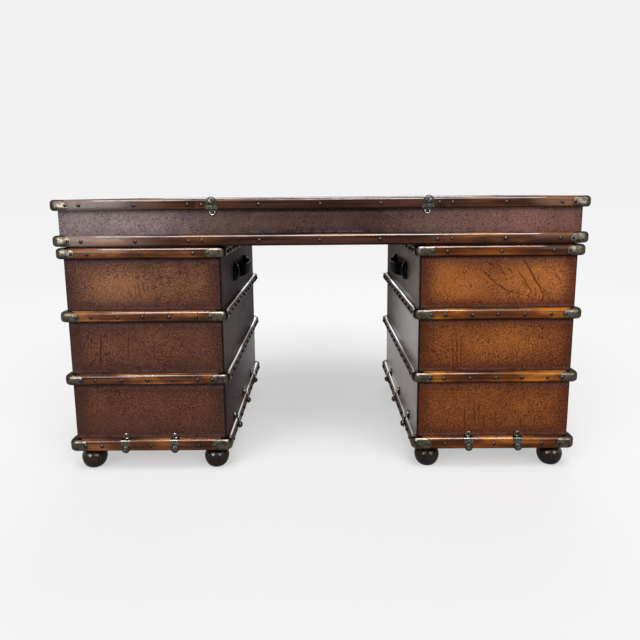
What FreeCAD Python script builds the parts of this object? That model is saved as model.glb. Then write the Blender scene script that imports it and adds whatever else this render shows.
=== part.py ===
import FreeCAD, Part
import math
import os
from types import SimpleNamespace

import Sketcher

# Campaign desk, in millimetres: a leather-clad top unit with three frieze drawers, lifted on to two pedestals
# with three drawers each. Wooden slats run round every level as bands, with metal caps over their corners and
# metal clamps over the lowest and the highest band. Drop bails open the drawers, and straps carry the pedestals.
# +Z is up, and the origin is on the floor under the middle of the desk. The visitor's side faces -Y and the
# user's side, with the drawers, faces +Y. Left is -X, as the visitor sees it.

SIZES = {
    # Cases, from panel face to panel face
    "case_width": 1416,
    "case_depth": 760,
    "pedestal_width": 428,
    "pedestal_inset": 6,
    "board": 16,
    "edge_round": 5,
    # Levels
    "desk_height": 775,
    "foot_height": 64,
    "low_band_height": 34,
    "band_height": 30,
    "middle_tier": 150,
    "high_tier": 145,
    "band_gap": 4,
    "seat_proud": 2,
    "lift_gap": 0.3,
    "frieze_height": 66,
    "leather": 1.5,
    "leather_sunk": 0.5,
    # Shelves
    "rail_depth": 30,
    "foot_rail_depth": 90,
    # Slats, caps and clamps
    "slat_proud": 15.5,
    "slat_round": 18,
    "slat_bevel": 4,
    "slat_joint": 333,
    "cap_gap": 0.2,
    "cap_sheet": 1.5,
    "cap_arm": 38,
    "clamp_width": 30,
    "clamp_pitch": 140,
    "side_clamp_pitch": 220,
    "top_clamp_pitch": 578,
    "clamp_tab_width": 18,
    "clamp_tab_reach": 14,
    "clamp_tab_thick": 3,
    "boss_width": 20,
    "boss_cut": 5.9,
    "boss_rise": 4,
    "boss_drop": 5,
    # Feet
    "foot_width": 71,
    "foot_base_width": 42,
    "foot_neck_width": 46,
    "foot_belly_height": 33,
    "foot_setback": 34,
    # Carrying handles
    "handle_pitch": 240,
    "strap_width": 33,
    "strap_thick": 5,
    "strap_rise": 30,
    "strap_crest": 90,
    "strap_tail": 22,
    "rosette_width": 60,
    "rosette_height": 12,
    "rosette_gap": 2,
    # Locating blocks under the top unit
    "block_length": 44,
    "block_height": 12,
    "block_thick": 20,
    "block_gap": 1,
    # Drawers
    "front_thick": 20,
    "front_gap": 1.5,
    "run_gap": 0.3,
    "side_gap": 1,
    "back_gap": 4,
    "drawer_side": 12,
    "drawer_drop": 15,
    "groove_up": 10,
    "groove_depth": 6,
    "bottom_thick": 6,
    "groove_gap": 0.2,
    # Pulls
    "plate_width": 120,
    "plate_height": 30,
    "plate_thick": 2,
    "plate_corner": 6,
    "bail_width": 96,
    "bail_drop": 26,
    "bail_bar": 7,
    "bail_thick": 6,
    "bail_corner": 8,
    "bail_up": 9,
    "hinge_out": 9,
    "ear_thick": 7,
    "ear_height": 11,
    "ear_nose": 5.5,
    "ear_gap": 0.4,
    "rod_width": 4.8,
    "rod_gap": 0.07,
}

doc = FreeCAD.newDocument("campaign_desk")
sheet = doc.addObject("Spreadsheet::Sheet", "Sizes")
for row, (alias, number) in enumerate(SIZES.items(), start=1):
    sheet.set(f"A{row}", alias)
    sheet.set(f"B{row}", str(number))
    sheet.setAlias(f"B{row}", alias)
doc.recompute()

# S.board stands for the text "Sizes.board" in an expression.
S = SimpleNamespace(**{alias: f"Sizes.{alias}" for alias in SIZES})
X_AXIS = FreeCAD.Vector(1, 0, 0)
Y_AXIS = FreeCAD.Vector(0, 1, 0)
Z_AXIS = FreeCAD.Vector(0, 0, 1)
NODES = []


# ---------------------------------------------------------------------------------------------- expressions


def plus(*terms):
    return "(" + " + ".join(str(term) for term in terms) + ")"


def minus(first, *others):
    return "(" + " - ".join(str(term) for term in (first, *others)) + ")"


def half(term):
    return f"({term} / 2)"


def value(expression):
    """The number that an expression has now."""
    result = sheet.evalExpression(str(expression))
    return float(getattr(result, "Value", result))


def bind(thing, prop, expression):
    """Ties a property to an expression of the sheet's sizes."""
    thing.setExpression(prop, str(expression))


# ---------------------------------------------------------------------------------------------- makers


def place(thing, x="0", y="0", z="0", turn=0):
    """Puts a thing at x, y, z, turned about Z by some degrees."""
    thing.Placement = FreeCAD.Placement(FreeCAD.Vector(), FreeCAD.Rotation(Z_AXIS, turn))
    for axis, expression in (("x", x), ("y", y), ("z", z)):
        bind(thing, f"Placement.Base.{axis}", expression)
    return thing


def box(name, low, size):
    """A plain board from its low corner and its size."""
    board = doc.addObject("Part::Box", name)
    for prop, expression in zip(("Length", "Width", "Height"), size):
        bind(board, prop, expression)
    return place(board, *low)


def span_box(name, low, high):
    """A plain board from its low corner to its high one."""
    return box(name, low, [minus(b, a) for a, b in zip(low, high)])


def mirrored(name, source, normal, x="0", y="0", z="0"):
    """The mirror image of a thing in the plane through x, y, z."""
    image = doc.addObject("Part::Mirroring", name)
    image.Source = source
    image.Normal = normal
    for axis, expression in (("x", x), ("y", y), ("z", z)):
        bind(image, f"Base.{axis}", expression)
    return image


def group(name, things):
    """Several separate solids in one node."""
    joined = doc.addObject("Part::Compound", name)
    joined.Links = things
    return joined


def node(label, thing):
    """Names a thing as a sub-part of its own."""
    thing.Label = label
    NODES.append(thing)
    return thing


def new_body(name):
    return doc.addObject("PartDesign::Body", name)


def arc_centre(start, end, radius):
    """The centre of the short arc that turns left between two points."""
    chord = end - start
    rise = math.sqrt(max(radius**2 - (chord.Length / 2) ** 2, 0.0))
    return (start + end) / 2 + FreeCAD.Vector(-chord.y, chord.x, 0).normalize() * rise


def add_outline(sketch, *steps):
    """Draws a closed outline through its points. A radius after a point bends the line that leads there."""
    points = [FreeCAD.Vector(value(step[0]), value(step[1]), 0) for step in steps]
    first = sketch.GeometryCount
    for index, step in enumerate(steps):
        begin, finish = points[index - 1], points[index]
        if len(step) == 2:
            sketch.addGeometry(Part.LineSegment(begin, finish))
        else:
            radius = value(step[2])
            centre = arc_centre(begin, finish, radius)
            angles = [math.atan2(point.y - centre.y, point.x - centre.x) for point in (begin, finish)]
            sketch.addGeometry(Part.ArcOfCircle(Part.Circle(centre, Z_AXIS, radius), *angles))
    for index, step in enumerate(steps):
        line, follower = first + index, first + (index + 1) % len(steps)
        sketch.addConstraint(Sketcher.Constraint("Coincident", line, 2, follower, 1))
        for kind, number, text in zip(("DistanceX", "DistanceY"), points[index], step):
            datum = sketch.addConstraint(Sketcher.Constraint(kind, -1, 1, line, 2, number))
            bind(sketch, f"Constraints[{datum}]", text)
        if len(step) > 2:
            datum = sketch.addConstraint(Sketcher.Constraint("Radius", line, value(step[2])))
            bind(sketch, f"Constraints[{datum}]", step[2])


def add_circle(sketch, x, y, radius):
    """Draws a circle round a point."""
    circle = Part.Circle(FreeCAD.Vector(value(x), value(y), 0), Z_AXIS, value(radius))
    index = sketch.addGeometry(circle)
    for kind, text in (("DistanceX", x), ("DistanceY", y)):
        datum = sketch.addConstraint(Sketcher.Constraint(kind, -1, 1, index, 3, value(text)))
        bind(sketch, f"Constraints[{datum}]", text)
    datum = sketch.addConstraint(Sketcher.Constraint("Radius", index, value(radius)))
    bind(sketch, f"Constraints[{datum}]", radius)


def new_sketch(body, name, plane, lift="0"):
    """A sketch on one of the body's own planes, lifted along that plane's normal."""
    sketch = body.newObject("Sketcher::SketchObject", name)
    support = next(feature for feature in body.Origin.OriginFeatures if feature.Role == plane)
    sketch.AttachmentSupport = [(support, "")]
    sketch.MapMode = "FlatFace"
    bind(sketch, "AttachmentOffset.Base.z", lift)
    return sketch


def pad(body, name, plane, outline, length, lift="0", symmetric=False, hole=None, circle=None):
    """Pads an outline or a circle from a plane: XY towards +Z, XZ towards -Y, YZ towards +X."""
    sketch = new_sketch(body, f"{name}_outline", plane, lift)
    if outline:
        add_outline(sketch, *outline)
    if hole:
        add_outline(sketch, *hole)
    if circle:
        add_circle(sketch, *circle)
    feature = body.newObject("PartDesign::Pad", name)
    feature.Profile = sketch
    feature.SideType = "Symmetric" if symmetric else "One side"
    bind(feature, "Length", length)
    sketch.Visibility = False
    return feature


def pocket(body, name, plane, outline, length, lift="0"):
    """Cuts an outline out of the body, from the lifted plane along its normal."""
    sketch = new_sketch(body, f"{name}_outline", plane, lift)
    add_outline(sketch, *outline)
    doc.recompute()
    before = body.Shape.Volume
    feature = body.newObject("PartDesign::Pocket", name)
    feature.Profile = sketch
    feature.Reversed = True
    bind(feature, "Length", length)
    sketch.Visibility = False
    doc.recompute()
    if not body.Shape.Volume < before - 1e-6:
        raise RuntimeError(f"{body.Name}: the pocket {name} cuts nothing")
    return feature


def revolve(body, name, outline):
    """Turns an outline in the XZ plane about the Z axis."""
    sketch = new_sketch(body, f"{name}_outline", "XZ_Plane")
    add_outline(sketch, *outline)
    feature = body.newObject("PartDesign::Revolution", name)
    feature.Profile = sketch
    feature.ReferenceAxis = (sketch, ["V_Axis"])
    feature.Angle = 360
    sketch.Visibility = False
    return feature


def visitor_panel(name, start, end, bottom, top):
    """The panel on the visitor's side, with both its outer edges rounded, as leather goes round a board."""
    turn = S.edge_round
    outline = (
        (plus(start, turn), visitor_face, turn),
        (minus(end, turn), visitor_face),
        (end, plus(visitor_face, turn), turn),
        (end, visitor_inside),
        (start, visitor_inside),
        (start, plus(visitor_face, turn)),
    )
    body = new_body(name)
    pad(body, "panel", "XY_Plane", outline, minus(top, bottom))
    return place(body, z=bottom)


# ---------------------------------------------------------------------------------------------- main places

# Caps and clamps wrap the slats within a band's height, so a slat is lower than its band by two skins.
skin = plus(S.cap_gap, S.cap_sheet)
cap_reach = plus(S.slat_proud, skin)
boss_reach = plus(cap_reach, S.boss_rise)
# The clamps stand further out than the caps, on the visitor's side alone, so the cases sit off the middle.
case_middle = half(S.boss_rise)
visitor_face = minus(case_middle, half(S.case_depth))
user_face = plus(case_middle, half(S.case_depth))
visitor_inside = plus(visitor_face, S.board)
case_end = half(S.case_width)

pedestal_outer = minus(case_end, S.pedestal_inset)
pedestal_inner = minus(pedestal_outer, S.pedestal_width)
pedestal_middle = minus(pedestal_outer, half(S.pedestal_width))
pedestal_outer_inside = minus(pedestal_outer, S.board)
pedestal_inner_inside = plus(pedestal_inner, S.board)

# From the top down, so that the lowest tier takes what the desk's height leaves
frieze_ceiling = minus(S.desk_height, S.band_height)
frieze_floor = minus(frieze_ceiling, S.frieze_height)
unit_low_band = minus(frieze_floor, S.band_height)
pedestal_top = minus(unit_low_band, S.band_gap)
band_four = minus(pedestal_top, S.band_height)
high_tier_floor = minus(band_four, S.high_tier)
band_three = minus(high_tier_floor, S.band_height)
middle_tier_floor = minus(band_three, S.middle_tier)
band_two = minus(middle_tier_floor, S.band_height)
low_tier_floor = plus(S.foot_height, S.low_band_height)
seat = plus(pedestal_top, S.seat_proud)
unit_floor = plus(seat, S.lift_gap)

# Each band: its name, its underside and its height
PEDESTAL_BANDS = [
    ("band_one", S.foot_height, S.low_band_height),
    ("band_two", band_two, S.band_height),
    ("band_three", band_three, S.band_height),
    ("band_four", band_four, S.band_height),
]
UNIT_BANDS = [
    ("low_band", unit_low_band, S.band_height),
    ("high_band", frieze_ceiling, S.band_height),
]
TIERS = [
    ("low", low_tier_floor, band_two),
    ("middle", middle_tier_floor, band_three),
    ("high", high_tier_floor, band_four),
]


# ---------------------------------------------------------------------------------------------- slats

mitre_reach = minus(S.slat_proud, f"({S.slat_round} * (1 - sqrt(0.5)))")
round_start = minus(S.slat_proud, S.slat_round)


def slat(name, start, end, height, mitred_start=True, mitred_end=True):
    """A slat along X on a panel's face at y = 0, bevelled outside. A mitred end is cut back under its cap."""
    outline = [(start, "0"), (end, "0")]
    if mitred_end:
        outline += [
            (plus(end, mitre_reach), mitre_reach),
            (plus(end, round_start), S.slat_proud),
        ]
    else:
        outline.append((end, S.slat_proud))
    if mitred_start:
        outline += [
            (minus(start, round_start), S.slat_proud),
            (minus(start, mitre_reach), mitre_reach),
        ]
    else:
        outline.append((start, S.slat_proud))
    body = new_body(name)
    blank = pad(body, "blank", "XY_Plane", outline, minus(height, skin, skin), lift=skin)
    doc.recompute()
    outer = []
    for number, edge in enumerate(blank.Shape.Edges, start=1):
        first, last = (vertex.Point for vertex in edge.Vertexes)
        if abs(first.z - last.z) < 1e-5 and min(first.y, last.y) > 1e-5:
            outer.append(f"Edge{number}")
    bevel = body.newObject("PartDesign::Chamfer", "bevel")
    bevel.Base = (blank, outer)
    bind(bevel, "Size", S.slat_bevel)
    return body


def pedestal_slats():
    """Four bands of four slats round the right pedestal."""
    slats = []
    width, depth = half(S.pedestal_width), half(S.case_depth)
    for name, underside, height in PEDESTAL_BANDS:
        user = slat(f"{name}_user", f"(-{width})", width, height)
        place(user, pedestal_middle, user_face, underside)
        visitor = mirrored(f"{name}_visitor", user, Y_AXIS, y=case_middle)
        outer = slat(f"{name}_outer", f"(-{depth})", depth, height)
        place(outer, pedestal_outer, case_middle, underside, turn=-90)
        inner = mirrored(f"{name}_inner", outer, X_AXIS, x=pedestal_middle)
        slats += [user, visitor, outer, inner]
    return group("right_slats", slats)


def unit_slats():
    """Two bands round the top unit, with three lengths on each long side."""
    slats = []
    depth = half(S.case_depth)
    for name, underside, height in UNIT_BANDS:
        centre = slat(f"{name}_centre", f"(-{S.slat_joint})", S.slat_joint, height, False, False)
        right = slat(f"{name}_right", S.slat_joint, case_end, height, mitred_start=False)
        for piece in (centre, right):
            place(piece, y=user_face, z=underside)
        left = mirrored(f"{name}_left", right, X_AXIS)
        user = group(f"{name}_user", [centre, right, left])
        visitor = mirrored(f"{name}_visitor", user, Y_AXIS, y=case_middle)
        right_end = slat(f"{name}_right_end", f"(-{depth})", depth, height)
        place(right_end, case_end, case_middle, underside, turn=-90)
        left_end = mirrored(f"{name}_left_end", right_end, X_AXIS)
        slats += [user, visitor, right_end, left_end]
    return group("unit_slats", slats)


# ---------------------------------------------------------------------------------------------- corner caps


def corner_plan(reach, roundness, arm_end):
    """The plan of a band's corner: the panel's corner at 0, 0, arms to arm_end and two flats round the turn."""
    turn = minus(reach, f"({roundness} * (1 - sqrt(0.5)))")
    return (
        (arm_end, "0"),
        ("0", "0"),
        ("0", arm_end),
        (reach, arm_end),
        (reach, minus(reach, roundness)),
        (turn, turn),
        (minus(reach, roundness), reach),
        (arm_end, reach),
    )


def corner_cap(name, height):
    """A sheet-metal cap over a band's corner: a channel that turns the corner and holds the ends of two slats."""
    body = new_body(name)
    arm = f"(-{S.cap_arm})"
    past_arm = minus(arm, S.cap_sheet)
    inside = plus(S.slat_proud, S.cap_gap)
    inside_round = plus(S.slat_round, S.cap_gap)
    shell = corner_plan(cap_reach, plus(inside_round, S.cap_sheet), arm)
    pad(body, "shell", "XY_Plane", shell, height)
    channel = corner_plan(inside, inside_round, past_arm)
    pocket(body, "channel", "XY_Plane", channel, minus(height, S.cap_sheet, S.cap_sheet), lift=S.cap_sheet)
    return body


def pedestal_caps():
    """A cap at each corner of each band of both pedestals."""
    corners = []
    for name, underside, height in PEDESTAL_BANDS:
        cap = corner_cap(f"{name}_cap", height)
        corners.append(place(cap, pedestal_outer, user_face, underside))
    user_outer = group("caps_user_outer", corners)
    user_inner = mirrored("caps_user_inner", user_outer, X_AXIS, x=pedestal_middle)
    user = group("caps_user", [user_outer, user_inner])
    visitor = mirrored("caps_visitor", user, Y_AXIS, y=case_middle)
    return group("right_corner_caps", [user, visitor])


def unit_caps():
    """A cap at each corner of both bands of the top unit."""
    corners = []
    for name, underside, height in UNIT_BANDS:
        cap = corner_cap(f"{name}_cap", height)
        corners.append(place(cap, case_end, user_face, underside))
    user_right = group("unit_caps_user_right", corners)
    user_left = mirrored("unit_caps_user_left", user_right, X_AXIS)
    user = group("unit_caps_user", [user_right, user_left])
    visitor = mirrored("unit_caps_visitor", user, Y_AXIS, y=case_middle)
    return group("unit_corner_caps", [user, visitor])


# ---------------------------------------------------------------------------------------------- slat clamps


def slat_clamp(name, height):
    """A metal clamp bent round a slat at y = 0, with a tab on the panel above and a boss below."""
    body = new_body(name)
    inside = plus(S.slat_proud, S.cap_gap)
    top_inside = minus(height, S.cap_sheet)
    channel = (
        ("0", "0"),
        (cap_reach, "0"),
        (cap_reach, height),
        ("0", height),
        ("0", top_inside),
        (inside, top_inside),
        (inside, S.cap_sheet),
        ("0", S.cap_sheet),
    )
    pad(body, "channel", "YZ_Plane", channel, S.clamp_width, symmetric=True)
    tab_half = half(S.clamp_tab_width)
    tab_top = plus(height, S.clamp_tab_reach)
    tab = (
        (f"(-{tab_half})", height),
        (tab_half, height),
        (tab_half, tab_top),
        (f"(-{tab_half})", tab_top),
    )
    pad(body, "tab", "XZ_Plane", tab, S.clamp_tab_thick, lift=f"(-{S.clamp_tab_thick})")
    boss_half, boss_cut = half(S.boss_width), S.boss_cut
    boss_low, boss_high = f"(-{S.boss_drop})", minus(S.boss_width, S.boss_drop)
    boss = (
        (minus(boss_cut, boss_half), boss_low),
        (minus(boss_half, boss_cut), boss_low),
        (boss_half, plus(boss_low, boss_cut)),
        (boss_half, minus(boss_high, boss_cut)),
        (minus(boss_half, boss_cut), boss_high),
        (minus(boss_cut, boss_half), boss_high),
        (f"(-{boss_half})", minus(boss_high, boss_cut)),
        (f"(-{boss_half})", plus(boss_low, boss_cut)),
    )
    pad(body, "boss", "XZ_Plane", boss, S.boss_rise, lift=f"(-{boss_reach})")
    return body


def pedestal_clamps():
    """Clamps on the lowest band of the right pedestal: two for the visitor and three on each side."""
    _, underside, height = PEDESTAL_BANDS[0]
    pitch = half(S.clamp_pitch)
    clamps = []
    for name, shift in (("outer", pitch), ("inner", f"(-{pitch})")):
        clamp = slat_clamp(f"clamp_visitor_{name}", height)
        place(clamp, plus(pedestal_middle, shift), visitor_face, underside, turn=180)
        clamps.append(clamp)
    side = []
    pitch = S.side_clamp_pitch
    for name, shift in (("visitor", f"(-{pitch})"), ("middle", "0"), ("user", pitch)):
        clamp = slat_clamp(f"clamp_side_{name}", height)
        side.append(place(clamp, pedestal_outer, plus(case_middle, shift), underside, turn=-90))
    outer = group("clamps_outer", side)
    inner = mirrored("clamps_inner", outer, X_AXIS, x=pedestal_middle)
    return group("right_slat_clamps", [*clamps, outer, inner])


def unit_clamps():
    """Two clamps upside down on the top unit's upper band, with their tabs on the visitor's frieze."""
    _, underside, height = UNIT_BANDS[1]
    upright = slat_clamp("clamp_unit", height)
    place(upright, half(S.top_clamp_pitch), visitor_face, underside, turn=180)
    right = mirrored("clamp_unit_right", upright, Z_AXIS, z=plus(underside, half(height)))
    left = mirrored("clamp_unit_left", right, X_AXIS)
    return group("unit_slat_clamps", [right, left])


# ---------------------------------------------------------------------------------------------- feet and handles


def bun_foot(name):
    """A turned foot that swells from its base to a belly and draws in to a neck under the case."""
    belly = half(S.foot_width)
    profile = (
        ("0", "0"),
        (half(S.foot_base_width), "0"),
        (belly, S.foot_belly_height),
        (half(S.foot_neck_width), S.foot_height),
        ("0", S.foot_height),
    )
    body = new_body(name)
    revolve(body, "turning", profile)
    return body


def pedestal_feet():
    """Four feet under the right pedestal."""
    foot = bun_foot("foot_user_outer")
    place(foot, minus(pedestal_outer, S.foot_setback), minus(user_face, S.foot_setback))
    inner = mirrored("foot_user_inner", foot, X_AXIS, x=pedestal_middle)
    user = group("feet_user", [foot, inner])
    visitor = mirrored("feet_visitor", user, Y_AXIS, y=case_middle)
    return group("right_bun_feet", [user, visitor])


def strap_handle(name):
    """A thick leather strap that stands away from the panel at y = 0, with a flat tail under each rosette."""
    spring = minus(half(S.handle_pitch), half(S.rosette_width), S.rosette_gap)
    tail = plus(half(S.handle_pitch), S.strap_tail)
    crest = half(S.strap_crest)
    outline = (
        (f"(-{tail})", "0"),
        (f"(-{spring})", "0"),
        (f"(-{crest})", S.strap_rise),
        (crest, S.strap_rise),
        (spring, "0"),
        (tail, "0"),
        (tail, S.strap_thick),
        (spring, S.strap_thick),
        (crest, plus(S.strap_rise, S.strap_thick)),
        (f"(-{crest})", plus(S.strap_rise, S.strap_thick)),
        (f"(-{spring})", S.strap_thick),
        (f"(-{tail})", S.strap_thick),
    )
    body = new_body(name)
    pad(body, "strap", "XY_Plane", outline, S.strap_width, symmetric=True)
    return body


def rosette(name):
    """A round metal rosette over a strap's tail, turned about Z."""
    body = new_body(name)
    pad(body, "disc", "XY_Plane", None, S.rosette_height, circle=("0", "0", half(S.rosette_width)))
    return body


handle_height = half(plus(high_tier_floor, band_four))


def pedestal_straps():
    """A carrying handle on each side of the right pedestal's highest tier."""
    outer = place(strap_handle("strap_outer"), pedestal_outer, case_middle, handle_height, turn=-90)
    inner = mirrored("strap_inner", outer, X_AXIS, x=pedestal_middle)
    return group("right_handle_straps", [outer, inner])


def pedestal_rosettes():
    """Two rosettes over each strap of the right pedestal."""
    lying = rosette("rosette_outer_user")
    lying.Placement.Rotation = FreeCAD.Rotation(Y_AXIS, 90)
    bind(lying, "Placement.Base.x", plus(pedestal_outer, S.strap_thick))
    bind(lying, "Placement.Base.y", plus(case_middle, half(S.handle_pitch)))
    bind(lying, "Placement.Base.z", handle_height)
    visitor = mirrored("rosette_outer_visitor", lying, Y_AXIS, y=case_middle)
    outer = group("rosettes_outer", [lying, visitor])
    inner = mirrored("rosettes_inner", outer, X_AXIS, x=pedestal_middle)
    return group("right_handle_rosettes", [outer, inner])


# ---------------------------------------------------------------------------------------------- pedestal case


def shelf(name, start, width, top, rail_floor, rail_depth, rail_at_back=False):
    """A board with a rail under its user's edge, and where asked under its visitor's edge too."""
    underside = minus(top, S.board)
    if rail_at_back:
        outline = [
            (visitor_inside, rail_floor),
            (plus(visitor_inside, rail_depth), rail_floor),
            (plus(visitor_inside, rail_depth), underside),
        ]
    else:
        outline = [(visitor_inside, underside)]
    outline += [
        (minus(user_face, rail_depth), underside),
        (minus(user_face, rail_depth), rail_floor),
        (user_face, rail_floor),
        (user_face, top),
        (visitor_inside, top),
    ]
    body = new_body(name)
    pad(body, "board", "YZ_Plane", outline, width)
    return place(body, x=start)


def pedestal_shelves():
    """The bottom board, two dust boards and the top board of the right pedestal."""
    width = minus(pedestal_outer_inside, pedestal_inner_inside)
    shelves = []
    for name, underside, height in PEDESTAL_BANDS:
        lowest, highest = name == "band_one", name == "band_four"
        top = plus(underside, height, S.seat_proud) if highest else plus(underside, height)
        depth = S.foot_rail_depth if lowest else S.rail_depth
        shelves.append(shelf(f"{name}_shelf", pedestal_inner_inside, width, top, underside, depth, lowest))
    return group("right_shelves", shelves)


def locating_blocks():
    """Blocks on both pedestals that stand inside the top unit's rails and ends."""
    end_inside = minus(case_end, S.board, S.block_gap)
    visitor_side = plus(visitor_inside, S.rail_depth, S.block_gap)
    size = [S.block_length, S.block_thick, S.block_height]
    user_side = minus(user_face, S.rail_depth, S.block_gap, S.block_thick)
    blocks = []
    for end, x in (("outer", minus(end_inside, S.block_length)), ("inner", pedestal_inner_inside)):
        for side, y in (("visitor", visitor_side), ("user", user_side)):
            blocks.append(box(f"block_{end}_{side}", (x, y, seat), size))
    right = group("blocks_right", blocks)
    left = mirrored("blocks_left", right, X_AXIS)
    return group("locating_blocks", [right, left])


# ---------------------------------------------------------------------------------------------- drawers


def drawer(name, start, end, floor, ceiling):
    """A drawer between two sides, a floor and a ceiling: its front, its box, its pull plate and its bail."""
    front = span_box(
        f"{name}_front",
        (plus(start, S.front_gap), minus(user_face, S.front_thick), plus(floor, S.front_gap)),
        (minus(end, S.front_gap), user_face, minus(ceiling, S.front_gap)),
    )
    parts = {
        "front": front,
        "box": drawer_box(name, start, end, floor, ceiling),
    }
    middle = half(plus(start, end))
    height = plus(half(plus(floor, ceiling)), S.bail_up)
    plate = place(pull_plate(f"{name}_plate"), middle, user_face, height)
    bail = place(drop_bail(f"{name}_bail"), middle, plus(user_face, S.hinge_out), height)
    parts["pull_plate"] = plate
    parts["bail"] = bail
    return parts


def drawer_box(name, start, end, floor, ceiling):
    """Two grooved sides, a bottom in their grooves and a back that stands on the bottom."""
    side_height = minus(ceiling, S.front_gap, S.drawer_drop, plus(floor, S.run_gap))
    groove_top = plus(S.groove_up, S.bottom_thick, S.groove_gap, S.groove_gap)
    groove_bed = minus(S.drawer_side, S.groove_depth)
    section = (
        ("0", "0"),
        (S.drawer_side, "0"),
        (S.drawer_side, S.groove_up),
        (groove_bed, S.groove_up),
        (groove_bed, groove_top),
        (S.drawer_side, groove_top),
        (S.drawer_side, side_height),
        ("0", side_height),
    )
    back_face = plus(visitor_inside, S.back_gap)
    front_back = minus(user_face, S.front_thick)
    low_side = new_body(f"{name}_side")
    pad(low_side, "side", "XZ_Plane", section, minus(front_back, back_face))
    place(low_side, plus(start, S.side_gap), front_back, plus(floor, S.run_gap))
    high_side = mirrored(f"{name}_other_side", low_side, X_AXIS, x=half(plus(start, end)))
    bed = plus(start, S.side_gap, groove_bed, S.groove_gap)
    other_bed = minus(end, S.side_gap, groove_bed, S.groove_gap)
    bottom_floor = plus(floor, S.run_gap, S.groove_up, S.groove_gap)
    bottom_top = plus(bottom_floor, S.bottom_thick)
    bottom = span_box(f"{name}_bottom", (bed, back_face, bottom_floor), (other_bed, front_back, bottom_top))
    inside = plus(start, S.side_gap, S.drawer_side)
    other_inside = minus(end, S.side_gap, S.drawer_side)
    side_top = plus(floor, S.run_gap, side_height)
    back = span_box(
        f"{name}_back",
        (inside, back_face, bottom_top),
        (other_inside, plus(back_face, S.drawer_side), side_top),
    )
    return group(f"{name}_box", [low_side, high_side, bottom, back])


def pull_plate(name):
    """A plate with cut corners and two punched ears that carry a bail's rod. The hinge line is at z = 0."""
    body = new_body(name)
    wide, tall, corner = half(S.plate_width), half(S.plate_height), S.plate_corner
    plate = (
        (f"(-{wide})", f"({corner} - {tall})"),
        (f"({corner} - {wide})", f"(-{tall})"),
        (f"({wide} - {corner})", f"(-{tall})"),
        (wide, f"({corner} - {tall})"),
        (wide, f"({tall} - {corner})"),
        (f"({wide} - {corner})", tall),
        (f"({corner} - {wide})", tall),
        (f"(-{wide})", f"({tall} - {corner})"),
    )
    pad(body, "plate", "XZ_Plane", plate, S.plate_thick, lift=f"(-{S.plate_thick})")
    nose, ear_half = plus(S.hinge_out, S.ear_nose), half(S.ear_height)
    ear = (
        (S.plate_thick, f"(-{ear_half})"),
        (S.hinge_out, f"(-{ear_half})"),
        (nose, f"(-{half(ear_half)})"),
        (nose, half(ear_half)),
        (S.hinge_out, ear_half),
        (S.plate_thick, ear_half),
    )
    hole_half = plus(half(S.rod_width), S.rod_gap)
    hole = (
        (minus(S.hinge_out, hole_half), f"(-{hole_half})"),
        (plus(S.hinge_out, hole_half), f"(-{hole_half})"),
        (plus(S.hinge_out, hole_half), hole_half),
        (minus(S.hinge_out, hole_half), hole_half),
    )
    ear_outer = minus(half(S.bail_width), S.bail_bar, S.ear_gap)
    ear_inner = minus(ear_outer, S.ear_thick)
    pad(body, "ear", "YZ_Plane", ear, S.ear_thick, lift=ear_inner, hole=hole)
    pad(body, "other_ear", "YZ_Plane", ear, S.ear_thick, lift=f"(-{ear_outer})", hole=hole)
    return body


def drop_bail(name):
    """A flat cast bail and the round rod that it hangs from. The hinge line is the X axis."""
    body = new_body(name)
    outer, head = half(S.bail_width), half(S.bail_bar)
    inner = minus(outer, S.bail_bar)
    foot = f"(-{S.bail_drop} - {head})"
    bed = plus(foot, S.bail_bar)
    corner = S.bail_corner
    inner_corner = minus(corner, half(S.bail_bar))
    loop = (
        (f"(-{outer})", head),
        (f"(-{outer})", plus(foot, corner)),
        (minus(corner, outer), foot),
        (minus(outer, corner), foot),
        (outer, plus(foot, corner)),
        (outer, head),
        (inner, head),
        (inner, plus(bed, inner_corner)),
        (minus(inner, inner_corner), bed),
        (minus(inner_corner, inner), bed),
        (f"(-{inner})", plus(bed, inner_corner)),
        (f"(-{inner})", head),
    )
    pad(body, "loop", "XZ_Plane", loop, S.bail_thick, symmetric=True)
    rod = ("0", "0", half(S.rod_width))
    pad(body, "rod", "YZ_Plane", None, plus(inner, inner), lift=f"(-{inner})", circle=rod)
    return body


# ---------------------------------------------------------------------------------------------- assembly


def build_pedestals():
    """Builds the right pedestal and mirrors each of its sub-parts to the left."""
    panel = visitor_panel("right_visitor_panel", pedestal_inner, pedestal_outer, S.foot_height, pedestal_top)
    outer_side = span_box(
        "right_outer_side",
        (pedestal_outer_inside, visitor_inside, S.foot_height),
        (pedestal_outer, user_face, pedestal_top),
    )
    inner_side = mirrored("right_inner_side", outer_side, X_AXIS, x=pedestal_middle)
    right = {
        "visitor_panel": panel,
        "side_panels": group("right_side_panels", [outer_side, inner_side]),
        "shelves": pedestal_shelves(),
        "slats": pedestal_slats(),
        "corner_caps": pedestal_caps(),
    }
    for tier, floor, ceiling in TIERS:
        parts = drawer(f"right_{tier}_drawer", pedestal_inner_inside, pedestal_outer_inside, floor, ceiling)
        right.update({f"{tier}_drawer_{part}": thing for part, thing in parts.items()})
    for name, thing in right.items():
        node(f"right_{name}", thing)
        node(f"left_{name}", mirrored(f"left_{name}", thing, X_AXIS))
    fittings = {
        "bun_feet": pedestal_feet(),
        "pedestal_slat_clamps": pedestal_clamps(),
        "handle_straps": pedestal_straps(),
        "handle_rosettes": pedestal_rosettes(),
    }
    for name, thing in fittings.items():
        node(name, group(name, [thing, mirrored(f"left_{name}", thing, X_AXIS)]))
    node("locating_blocks", locating_blocks())


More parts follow.
